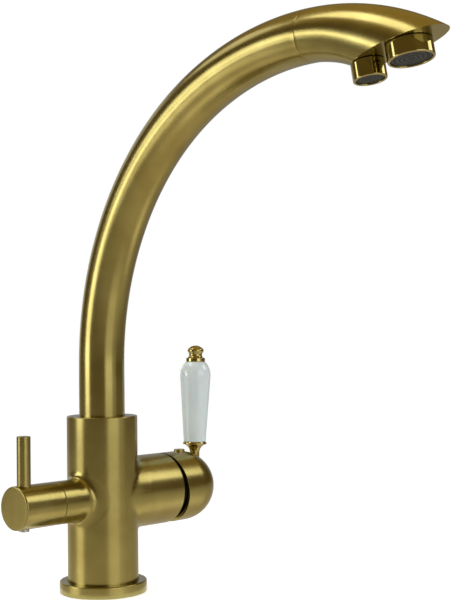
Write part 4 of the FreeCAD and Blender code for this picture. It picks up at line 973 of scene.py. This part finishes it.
@dataclass
class Outlet(Assembly):
    """One outlet under the beak: a polished housing round a dark insert.

    Attributes:
        reach: Where it hangs, from the column's axis.
        drop: How far it stands out of the underside.
        slots: The slots in each of the insert's rings.
        recess: How far the insert's face lies inside the housing.
        hub: The radius of the insert's plain middle.
        rise: How far that face rises to its last ring and to its middle.
    """

    beak: Beak
    prefix: str
    reach: float
    radius: float
    drop: float
    neck: float
    slots: int
    wall: float = 1.6
    neck_depth: float = 2.5
    recess: float = 0.8
    insert_depth: float = 3.0
    rings: int = 4
    hub: float = 0.6
    rise: Pair = (0.24, 0.25)
    play: float = 0.1
    mouth: Pair = (0.35, 0.5)
    shoulder: Pair = (0.1, 0.35)
    shoulder_top: float = 1.0
    lip_round: float = 0.5
    slot_margin: float = 0.12
    slot_depth: float = 0.5

    @property
    def place(self) -> Matrix:
        """The matrix that hangs the outlet square to the underside."""
        down = Matrix.Rotation(math.radians(-self.beak.plane_tilt), 4, "Y") @ TURNS[Way.DOWN]
        return self.beak.spout.swung @ Matrix.Translation(self.beak.underside(self.reach)) @ down

    def build(self) -> None:
        """Builds the housing and the insert."""
        bore, radius, drop = self.radius - self.wall, self.radius, self.drop
        (slimmer, start), (wider, chamfer) = self.shoulder, self.mouth
        profile = [(bore, -self.neck_depth), (self.neck, -self.neck_depth), (self.neck, 0.0)]
        profile += [(radius - slimmer, start), (radius, self.shoulder_top), (radius, drop)]
        profile += [(bore + wider, drop), (bore, drop - chamfer)]
        housing = turn(profile, [(radius, drop, self.lip_round)], steps=112, closed=True)
        name, node = f"{self.prefix}_outlet_housing", f"{self.prefix}_aerator_housing"
        self.piece(housing, name, "spout", POLISHED, node, self.place)
        self.build_insert(bore - self.play)

    def build_insert(self, edge: float) -> None:
        """Builds the insert, with rings of small slots sunk into its face.

        Args:
            edge: The insert's radius.
        """
        face = self.drop - self.recess
        bands = 2 * self.rings
        width, pitch = (edge - self.hub) / bands, math.pi / self.slots
        last, middle = self.rise
        profile = [(0, face - self.insert_depth), (edge, face - self.insert_depth)]
        profile += [(edge - width * step, face + last * step / bands) for step in range(bands + 1)]
        profile.append((0, face + middle))
        insert = turn(profile, steps=self.slots * 2)
        sunk = []
        for candidate in insert.faces:
            centre = candidate.calc_center_median()
            if centre.z < face - 0.1 or candidate.normal.z < 0.8:
                continue
            band = int((edge - centre.xy.length) / width)
            spoke = int((math.atan2(centre.y, centre.x) % FULL_TURN) / pitch)
            if band % 2 == 1 and band < bands and spoke % 2 == 0:
                sunk.append(candidate)
        bmesh.ops.inset_individual(insert, faces=sunk, thickness=self.slot_margin, depth=0.0)
        floors = list({v for f in sunk for v in f.verts})
        bmesh.ops.translate(insert, verts=floors, vec=(0, 0, -self.slot_depth))
        LOG.info("%s insert: %d slots", self.prefix, len(sunk))
        name, node = f"{self.prefix}_outlet_insert", f"{self.prefix}_aerator_insert"
        self.piece(insert, name, "spout", DARK_ABS, node, self.place)


@dataclass
class MixerCap(Assembly):
    """The domed cap that carries the lever, and the ring of dark plastic seen in the slit behind
    it, painted near black as painted shade.

    Attributes:
        centre: The centre of the dome, from the column's axis.
        gap_top, gap_bottom: The width of the slit at its top and bottom.
    """

    branch: Branch = MIXER_BRANCH
    wall: float = 2.2
    centre: float = 69.2
    gap_top: float = 2.0
    gap_bottom: float = 7.0
    mouth_round: float = 0.15
    dome_steps: tuple[int, int] = (32, 20)
    plug_radius: float = 3.65
    plug_rise: float = 1.4
    plug_stem: float = 2.9
    plug_depth: float = 4.0
    plug_seat: float = 0.5
    plug_fall: float = 0.15
    plug_round: float = 0.35
    ring_inner: float = 16.1
    ring_outer: float = 18.5
    ring_from: float = -0.2
    ring_to: float = 7.3
    ribs: int = 5
    rib_pitch: float = 1.35
    first_groove: float = 0.4
    groove_depth: float = 0.4
    groove_steps: Triple = (0.25, 0.95, 1.2)

    def build(self) -> None:
        """Builds the cap, its index plug and the ring in the slit."""
        self.build_cap()
        self.build_plug()
        self.build_slit()

    def dome(self, radius: float, steps: int) -> Mesh:
        """Turns a tube that ends in half a ball, longer than the cap.

        Args:
            radius: The radius of both.
            steps: The steps from the tube to the ball's tip.

        Returns:
            The mesh, open at its start.
        """
        profile = [(radius, self.branch.rim - 2), (radius, self.centre)]
        profile += arc(profile[-1], (0.0, self.centre + radius), radius, 1, steps)
        return turn(profile, steps=144)

    def build_cap(self) -> None:
        """Turns the hollow dome and cuts its rim on the slant."""
        outer = self.branch.radius
        inner = outer - self.wall
        cap, hollow = [self.dome(*sizes) for sizes in zip((outer, inner), self.dome_steps)]
        bmesh.ops.reverse_faces(hollow, faces=hollow.faces)
        inside = spent(hollow, "inside")
        cap.from_mesh(inside)
        bpy.data.meshes.remove(inside)
        slope = math.atan((self.gap_bottom - self.gap_top) / (2 * outer))
        # The cap's own X axis points down when it lies along the branch.
        middle = self.branch.rim + (self.gap_top + self.gap_bottom) / 2
        cut_off(cap, (0, 0, middle), (math.sin(slope), 0, -math.cos(slope)))
        bmesh.ops.bridge_loops(cap, edges=[e for e in cap.edges if e.is_boundary])
        bmesh.ops.recalc_face_normals(cap, faces=cap.faces)
        mouth = [e for e in cap.edges if len(e.link_faces) == 2 and e.calc_face_angle(0) > 0.9]
        mouth = [e for e in mouth if all(v.co.xy.length > inner - 0.1 for v in e.verts)]
        round_edges(cap, mouth, self.mouth_round, 2)
        at = posed(Way.MIXER, z=self.branch.height)
        self.piece(cap, "domed_cap", "mixer_lever", SATIN_ACROSS, "mixer_cap", at)

    def build_plug(self) -> None:
        """Turns the small disc let into the cap's top."""
        radius, stem = self.plug_radius, self.plug_stem
        dome = self.branch.radius
        top, floor, seat = dome + self.plug_rise, dome - self.plug_depth, dome - self.plug_seat
        edge = top - self.plug_fall
        profile = [(0, floor), (stem, floor), (stem, seat), (radius, seat)]
        profile += [(radius, edge), (radius * 0.6, top), (0, top)]
        plug = turn(profile, [(radius, edge, self.plug_round)], steps=64)
        at = posed(Way.UP, self.centre, 0, self.branch.height)
        self.piece(plug, "index_disc", "mixer_lever", POLISHED, "index_plug", at)

    def build_slit(self) -> None:
        """Turns the ribbed ring of dark plastic that closes the slit behind the cap; its near black
        is partly painted shade.
        """
        inner, outer, rim_at = self.ring_inner, self.ring_outer, self.branch.rim
        low = outer - self.groove_depth
        profile = [(inner, rim_at + self.ring_from), (outer, rim_at + self.ring_from)]
        for rib in range(self.ribs):
            start = rim_at + self.first_groove + rib * self.rib_pitch
            floor, floor_end, end = [start + step for step in self.groove_steps]
            profile += [(outer, start), (low, floor), (low, floor_end), (outer, end)]
        profile += [(outer, rim_at + self.ring_to), (inner, rim_at + self.ring_to)]
        ring = turn(profile, closed=True)
        at = posed(Way.MIXER, z=self.branch.height)
        # The ring's near black, darker than its dark plastic, is painted shade for the shade inside
        # the slit.
        self.piece(ring, "slit_ring", "tap", SLIT_SHADE_ABS, "cartridge_cover_ring", at)


@dataclass
class Lever(Assembly):
    """The lever: a flared collar, a porcelain grip and a mushroom finial on one leaning axis.

    Its points are (radius, height) from the lever's foot, and lean is in degrees.
    """

    reach: float = 84.0
    foot: float = 78.0
    lean: float = 1.6
    rod: float = 2.6
    collar_foot: Pair = (3.3, -1.6)
    collar_neck: Pair = (3.3, 3.5)
    dish_edge: Pair = (8.2, 9.4)
    dish_lip: Pair = (8.2, 10.1)
    dish_top: Pair = (7.6, 11.0)
    dish_curve: float = 6.0
    dish_rounds: Pair = (0.25, 0.2)
    grip_foot: Pair = (6.95, 11.0)
    grip_heel: Pair = (7.55, 11.6)
    grip_shoulder: Pair = (10.35, 55.0)
    grip_top: Pair = (6.6, 66.0)
    heel_curve: float = 0.6
    shoulder_curve: float = 12.7
    grip_round: float = 0.5
    ring_foot: Pair = (6.55, 66.0)
    ring_top: Pair = (6.55, 68.3)
    ring_back: Pair = (6.2, 68.6)
    waist: Pair = (4.5, 70.4)
    cap_under: Pair = (5.4, 72.9)
    cap_side: Pair = (5.55, 73.6)
    cap_edge: Pair = (5.5, 74.4)
    cap_top: Pair = (0.0, 77.2)
    waist_curves: Pair = (2.0, 3.0)
    cap_curve: float = 6.8
    ring_rounds: Pair = (0.3, 0.2)
    rod_end: float = 73.9

    @property
    def place(self) -> Matrix:
        """The matrix that stands the lever on the cap."""
        lean = Matrix.Rotation(math.radians(self.lean), 4, "Y")
        return Matrix.Translation((self.reach, 0, self.foot)) @ lean

    def build(self) -> None:
        """Builds the collar, the grip and the finial."""
        self.build_collar()
        self.build_grip()
        self.build_finial()

    def build_collar(self) -> None:
        """Turns the collar, which flares from a thin neck to a knife-edged dish."""
        profile = [(self.rod, self.collar_foot[1]), self.collar_foot, self.collar_neck]
        profile += arc(self.collar_neck, self.dish_edge, self.dish_curve, -1, 14)
        profile += [self.dish_lip, self.dish_top, (self.rod, self.dish_top[1])]
        lip, edge = self.dish_rounds
        rounds = [(*self.dish_lip, lip), (*self.dish_edge, edge)]
        collar = turn(profile, rounds, steps=96, closed=True)
        name, body = "flared_collar", "mixer_lever"
        self.piece(collar, name, body, POLISHED, "lever_collar", self.place)

    def build_grip(self) -> None:
        """Turns the porcelain grip, which widens upwards and closes in a round shoulder."""
        profile = [(self.rod, self.grip_foot[1]), self.grip_foot]
        profile += arc(self.grip_foot, self.grip_heel, self.heel_curve, 1, 4)
        profile.append(self.grip_shoulder)
        profile += arc(self.grip_shoulder, self.grip_top, self.shoulder_curve, 1, 14)
        profile.append((self.rod, self.grip_top[1]))
        grip = turn(profile, [(*self.grip_top, self.grip_round)], steps=112, closed=True)
        name, body = "porcelain_grip", "mixer_lever"
        self.piece(grip, name, body, PORCELAIN, "porcelain_handle", self.place)

    def build_finial(self) -> None:
        """Turns the finial: a ring, a narrow waist and a mushroom knob."""
        over, under = self.waist_curves
        profile = [(self.rod, self.ring_foot[1])]
        profile += [self.ring_foot, self.ring_top, self.ring_back]
        profile += arc(self.ring_back, self.waist, over, -1, 5)
        profile += arc(self.waist, self.cap_under, under, -1, 5)
        profile += [self.cap_side, self.cap_edge]
        profile += arc(self.cap_edge, self.cap_top, self.cap_curve, 1, 12)
        profile += [(0.0, self.rod_end), (self.rod, self.rod_end)]
        foot, top = self.ring_rounds
        rounds = [(*self.ring_foot, foot), (*self.ring_top, top)]
        finial = turn(profile, rounds, steps=96, closed=True)
        name, body = "mushroom_finial", "mixer_lever"
        self.piece(finial, name, body, POLISHED, "lever_finial", self.place)


@dataclass
class FilterKnob(Assembly):
    """The quarter turn knob on the filter branch, with its pin lever and grub screw.

    The knob is measured from the column's axis, and the screw from the knob's.
    """

    branch: Branch = FILTER_BRANCH
    start: float = 40.3
    end: float = 70.4
    bore: float = 10.7
    bore_end: float = 55.3
    hole: float = 3.6
    hole_end: float = 66.1
    pin_reach: float = 62.9
    pin_radius: float = 4.2
    pin_top: float = 102.7
    screw_radius: float = 3.2
    screw_span: Pair = (3.6, 14.5)
    key: float = 1.25
    key_depth: float = 2.0
    key_chamfer: Pair = (0.15, 0.2)
    knob_rounds: Pair = (0.3, 0.9)
    pin_round: float = 0.45
    screw_round: float = 0.3

    def build(self) -> None:
        """Builds the knob, the pin and the screw."""
        self.build_knob()
        self.build_pin()
        self.build_screw()

    def build_knob(self) -> None:
        """Turns the knob, with its bore and the hole for the spindle."""
        radius, start, end = self.branch.radius, self.start, self.end
        profile = [(self.bore, start), (radius, start), (radius, end), (0, end)]
        profile += [(0, self.hole_end), (self.hole, self.hole_end)]
        profile += [(self.hole, self.bore_end), (self.bore, self.bore_end)]
        back, front = self.knob_rounds
        knob = turn(profile, [(radius, start, back), (radius, end, front)], closed=True)
        at = posed(Way.FILTER, z=self.branch.height)
        name, body = "quarter_turn_knob", "filter_knob"
        self.piece(knob, name, body, SATIN_ACROSS, "filter_knob", at)

    def build_pin(self) -> None:
        """Turns the pin lever that stands on the knob."""
        radius, height = self.pin_radius, self.branch.height
        foot, top = self.branch.radius - 1, self.pin_top - height
        profile = [(0, foot), (radius, foot), (radius, top), (0, top)]
        pin = turn(profile, [(radius, top, self.pin_round)], steps=72)
        at = posed(Way.UP, -self.pin_reach, 0, height)
        self.piece(pin, "pin_lever", "filter_knob", SATIN_UPRIGHT, "filter_pin_lever", at)

    def build_screw(self) -> None:
        """Turns the grub screw under the knob, opposite the pin."""
        radius, (foot, head) = self.screw_radius, self.screw_span
        (wider, deeper), floor = self.key_chamfer, head - self.key_depth
        profile = [(0, foot), (radius, foot), (radius, head), (self.key + wider, head)]
        profile += [(self.key, head - deeper), (self.key, floor), (0, floor)]
        screw = turn(profile, [(radius, head, self.screw_round)], steps=72)
        at = posed(Way.DOWN, -self.pin_reach, 0, self.branch.height)
        self.piece(screw, "knob_screw", "filter_knob", STEEL, "filter_knob_grub_screw", at)


@dataclass
class InnerParts:
    """The CAD nodes that stay as they are and only take a finish."""

    metals: Sequence[Finish] = (SATIN_UPRIGHT, POLISHED, TURNED, STEEL)
    others: Sequence[Finish] = (PORCELAIN, ALUMINA, ACETAL, DARK_ABS, NITRILE, POLYETHYLENE)

    def dress(self, frame: dict[str, Any]) -> None:
        """Gives each CAD node the finish of its material slot.
        """
        by_slot = {finish.slot: finish for finish in (*self.metals, *self.others)}
        slots = {part["node"]: part["material_slot"] for part in frame["record"]["subparts"]}
        for name, node in frame["nodes"].items():
            material = by_slot[slots[name]].build()
            node.data.materials.clear()
            node.data.materials.append(material)
            LOG.info("%s keeps its CAD shape in %s", name, material.name)


# Studio
# ======


@dataclass(frozen=True)
class Softbox:
    """A lamp that faces the tap and isn't seen by the camera.

    Attributes:
        name: Its name.
        angle: Where it hangs, in degrees to the right of the camera's direction.
        distance: Its distance from the column's axis in metres.
        height: Its height in metres.
        size: Its width and height in metres.
        level: Its brightness, where 1 is white.
    """

    name: str
    angle: float
    distance: float
    height: float
    size: Pair
    level: float


@dataclass
class Studio:
    """The floor, the light and the camera, in metres.

    Attributes:
        floor_lift: The light that brings the floor near the tap to white.
        floor_fade: Where the floor starts and ends to turn plain white.
        flag_level, flag_top_level: The dark dome's brightness at its middle and top.
        back_level: Its brightness behind the tap.
        table_fade, table_levels: Where the table card darkens, and its brightness there.
    """

    camera_at: Triple = (-0.53188, -0.60757, 0.16594)
    forward: Triple = (0.73022, 0.68280, 0.02363)
    upward: Triple = (-0.01018, -0.02371, 0.99967)
    lens: float = 75.07
    room_light: float = 0.5
    floor_radius: float = 6.0
    floor_lift: float = 0.6
    floor_fade: Pair = (0.1, 0.45)
    flag_radius: float = 4.0
    flag_level: float = 0.14
    flag_top_level: float = 0.5
    back_level: float = 0.42
    table_hole: float = 0.036
    table_fade: Pair = (0.1, 1.0)
    table_levels: Pair = (0.48, 0.2)
    aim: Triple = (0, -0.05, 0.2)
    softboxes: Sequence[Softbox] = (
        Softbox("left_box", -72, 1.15, 0.25, (0.5, 0.42), 2.9),
        Softbox("beak_box", -89, 1.15, 0.46, (0.24, 0.3), 2.3),
        Softbox("upper_box", -89, 1.155, 2.19, (1.0, 0.7), 2.4),
        Softbox("upper_back_box", -120, 1.6, 1.55, (0.8, 0.5), 0.95),
        Softbox("right_box", 42, 2.2, 0.6, (1.55, 1.2), 1.2),
        Softbox("right_fill", 72, 2.2, 0.6, (0.7, 1.2), 0.35),
        Softbox("high_right_box", 97, 1.65, 1.26, (0.76, 0.8), 1.8),
        Softbox("back_fill", -145, 2.2, 0.7, (1.2, 1.3), 0.4),
    )

    def build(self) -> None:
        """Sets the room, the floor, the cards, the light and the camera."""
        bpy.context.scene.view_settings.view_transform = "Standard"
        self.build_world()
        self.build_floor()
        self.build_table_card()
        self.build_flag()
        for box in self.softboxes:
            self.hang(box)
        self.build_camera()

    def staged(self, name: str, mesh: Mesh, material: Material, mirrored: bool = True) -> None:
        """Makes the floor, or a card that is only seen mirrored in the metal.

        Args:
            name: Its name.
            mesh: Its mesh, which is used up.
            material: Its material.
            mirrored: Whether it is such a card.
        """
        thing = linked(name, spent(mesh, name))
        thing.data.materials.append(material)
        if mirrored:
            thing.visible_camera = False
            thing.visible_diffuse = False
            thing.visible_shadow = False
            thing.visible_transmission = False

    def seen(self, tree: Tree) -> Socket:
        """Finds the rays that come from the camera or are reflected or refracted.

        Args:
            tree: The node tree that asks.

        Returns:
            A factor that is 1 for such rays.
        """
        rays = add(tree, "ShaderNodeLightPath").outputs
        seen = rays["Is Camera Ray"]
        for kind in ("Is Glossy Ray", "Is Transmission Ray"):
            pair = {0: seen, 1: rays[kind]}
            seen = add(tree, "ShaderNodeMath", pair, operation="MAXIMUM").outputs[0]
        return seen

    def away(self, tree: Tree, distances: Pair, levels: Pair) -> Socket:
        """Changes a value with the distance from the tap's foot.

        Args:
            tree: The node tree that takes it.
            distances: Where the change starts and ends.
            levels: The values there.

        Returns:
            The value.
        """
        place = add(tree, "ShaderNodeTexCoord").outputs["Object"]
        far = add(tree, "ShaderNodeVectorMath", {0: place}, operation="LENGTH").outputs["Value"]
        bounds = {"Value": far, "From Min": distances[0], "From Max": distances[1]}
        bounds |= {"To Min": levels[0], "To Max": levels[1]}
        return add(tree, "ShaderNodeMapRange", bounds).outputs[0]

    def build_world(self) -> None:
        """Makes a room that looks white and lights softly."""
        world = bpy.data.worlds.new("studio_room")
        bpy.context.scene.world = world
        world.use_nodes = True
        tree = world.node_tree
        tree.nodes.clear()
        white = {"Color": shade("#FFFFFF"), "Strength": 1.0}
        lit = add(tree, "ShaderNodeBackground", white | {"Strength": self.room_light})
        shown = add(tree, "ShaderNodeBackground", white)
        shaders = {0: self.seen(tree), 1: lit.outputs[0], 2: shown.outputs[0]}
        mixed = add(tree, "ShaderNodeMixShader", shaders)
        add(tree, "ShaderNodeOutputWorld", {"Surface": mixed.outputs[0]})

    def build_floor(self) -> None:
        """Lays the pale floor, which keeps the tap's shadow and turns plain white away from it."""
        material, tree = new_tree("studio_floor")
        paint = add(tree, "ShaderNodeBsdfDiffuse", {"Color": shade("#F2F2F2")})
        lift, white, nothing = [
            add(tree, "ShaderNodeEmission", {"Color": shade("#FFFFFF"), "Strength": strength})
            for strength in (self.floor_lift, 1.0, 0.0)
        ]
        seen, fade = self.seen(tree), self.away(tree, self.floor_fade, (0.0, 1.0))
        plain = add(tree, "ShaderNodeMath", {0: fade, 1: seen}, operation="MULTIPLY").outputs[0]
        shaders = {0: seen, 1: nothing.outputs[0], 2: lift.outputs[0]}
        lifted = add(tree, "ShaderNodeMixShader", shaders)
        near = add(tree, "ShaderNodeAddShader", {0: paint.outputs[0], 1: lifted.outputs[0]})
        shaders = {0: plain, 1: near.outputs[0], 2: white.outputs[0]}
        close(tree, add(tree, "ShaderNodeMixShader", shaders))
        mesh = bmesh.new()
        bmesh.ops.create_circle(mesh, cap_ends=True, segments=96, radius=self.floor_radius)
        bmesh.ops.translate(mesh, verts=mesh.verts, vec=(0, 0, -0.0002))
        self.staged("studio_floor", mesh, material, mirrored=False)

    def build_table_card(self) -> None:
        """Lays a satin grey card round the flange, which tones the metal's lower half down."""
        material, tree = new_tree("table_card")
        level = self.away(tree, self.table_fade, self.table_levels)
        tone = add(tree, "ShaderNodeEmission", {"Color": shade("#FFF4E6"), "Strength": level})
        sheen = add(tree, "ShaderNodeBsdfGlossy", {"Color": shade("#A8A49C"), "Roughness": 0.3})
        close(tree, add(tree, "ShaderNodeAddShader", {0: tone.outputs[0], 1: sheen.outputs[0]}))
        mesh = turn([(self.table_hole, 0.0003), (self.flag_radius, 0.0003)], steps=96)
        self.staged("table_card", mesh, material)

    def build_flag(self) -> None:
        """Hangs a dark dome round the tap, grey behind it, which gives the metal its dark bands."""
        material, tree = new_tree("dark_flag")
        place = add(tree, "ShaderNodeTexCoord").outputs["Object"]
        height = add(tree, "ShaderNodeSeparateXYZ", {0: place}).outputs["Z"]
        start, middle, end = [self.flag_radius * share for share in (0.5, 0.8, 0.9)]
        bounds = {"Value": height, "From Min": start, "From Max": end}
        bounds |= {"To Min": self.flag_level, "To Max": self.flag_top_level}
        level = add(tree, "ShaderNodeMapRange", bounds).outputs[0]
        dark = add(tree, "ShaderNodeEmission", {"Color": shade("#FFDA86"), "Strength": level})
        grey = {"Color": shade("#F4F6FF"), "Strength": self.back_level}
        back = add(tree, "ShaderNodeEmission", grey)
        ahead = {0: place, 1: self.forward}
        depth = add(tree, "ShaderNodeVectorMath", ahead, operation="DOT_PRODUCT").outputs["Value"]
        bounds = {"Value": depth, "From Min": middle, "From Max": end}
        behind = add(tree, "ShaderNodeMapRange", bounds).outputs[0]
        shaders = {0: behind, 1: dark.outputs[0], 2: back.outputs[0]}
        close(tree, add(tree, "ShaderNodeMixShader", shaders))
        mesh = bmesh.new()
        bmesh.ops.create_uvsphere(mesh, u_segments=64, v_segments=32, radius=self.flag_radius)
        cut_off(mesh, (0, 0, -0.1), (0, 0, -1))
        self.staged("dark_flag", mesh, material)

    def hang(self, box: Softbox) -> None:
        """Hangs a softbox round the tap.

        Args:
            box: The softbox.
        """
        light = bpy.data.lights.new(box.name, "AREA")
        light.shape = "RECTANGLE"
        light.size, light.size_y = box.size
        light.energy = box.level * light.size * light.size_y * 4
        facing = math.atan2(-self.forward[1], -self.forward[0]) + math.radians(box.angle)
        across = Vector((math.cos(facing), math.sin(facing), 0)) * box.distance
        at = across + Vector((0, 0, box.height))
        turned = (at - Vector(self.aim)).to_track_quat("Z", "Y").to_matrix().to_4x4()
        thing = linked(box.name, light)
        thing.matrix_world = Matrix.Translation(at) @ turned
        thing.visible_camera = False

    def build_camera(self) -> None:
        """Sets the camera where the photograph was taken from."""
        camera = bpy.data.cameras.new("camera")
        camera.lens = self.lens
        camera.sensor_fit = "AUTO"
        camera.sensor_width = 36.0
        camera.clip_start = 0.01
        ahead, up = Vector(self.forward), Vector(self.upward)
        side = ahead.cross(up)
        turned = Matrix((side, up, -ahead)).transposed().to_4x4()
        thing = linked("camera", camera)
        thing.matrix_world = Matrix.Translation(self.camera_at) @ turned
        bpy.context.scene.camera = thing


def main() -> None:
    """Builds the tap's looks."""
    logging.basicConfig(level=logging.INFO, format="%(name)s: %(message)s")
    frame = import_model()
    spout = Spout()
    beak = Beak(spout)
    InnerParts().dress(frame)
    Column().build()
    spout.build()
    beak.build()
    Outlet(beak, "main", reach=255.9, radius=12.0, drop=9.0, neck=10.6, slots=36).build()
    Outlet(beak, "filter", reach=228.9, radius=8.9, drop=9.7, neck=7.4, slots=28).build()
    MixerCap().build()
    Lever().build()
    FilterKnob().build()
    Studio().build()


if __name__ == "__main__":
    main()
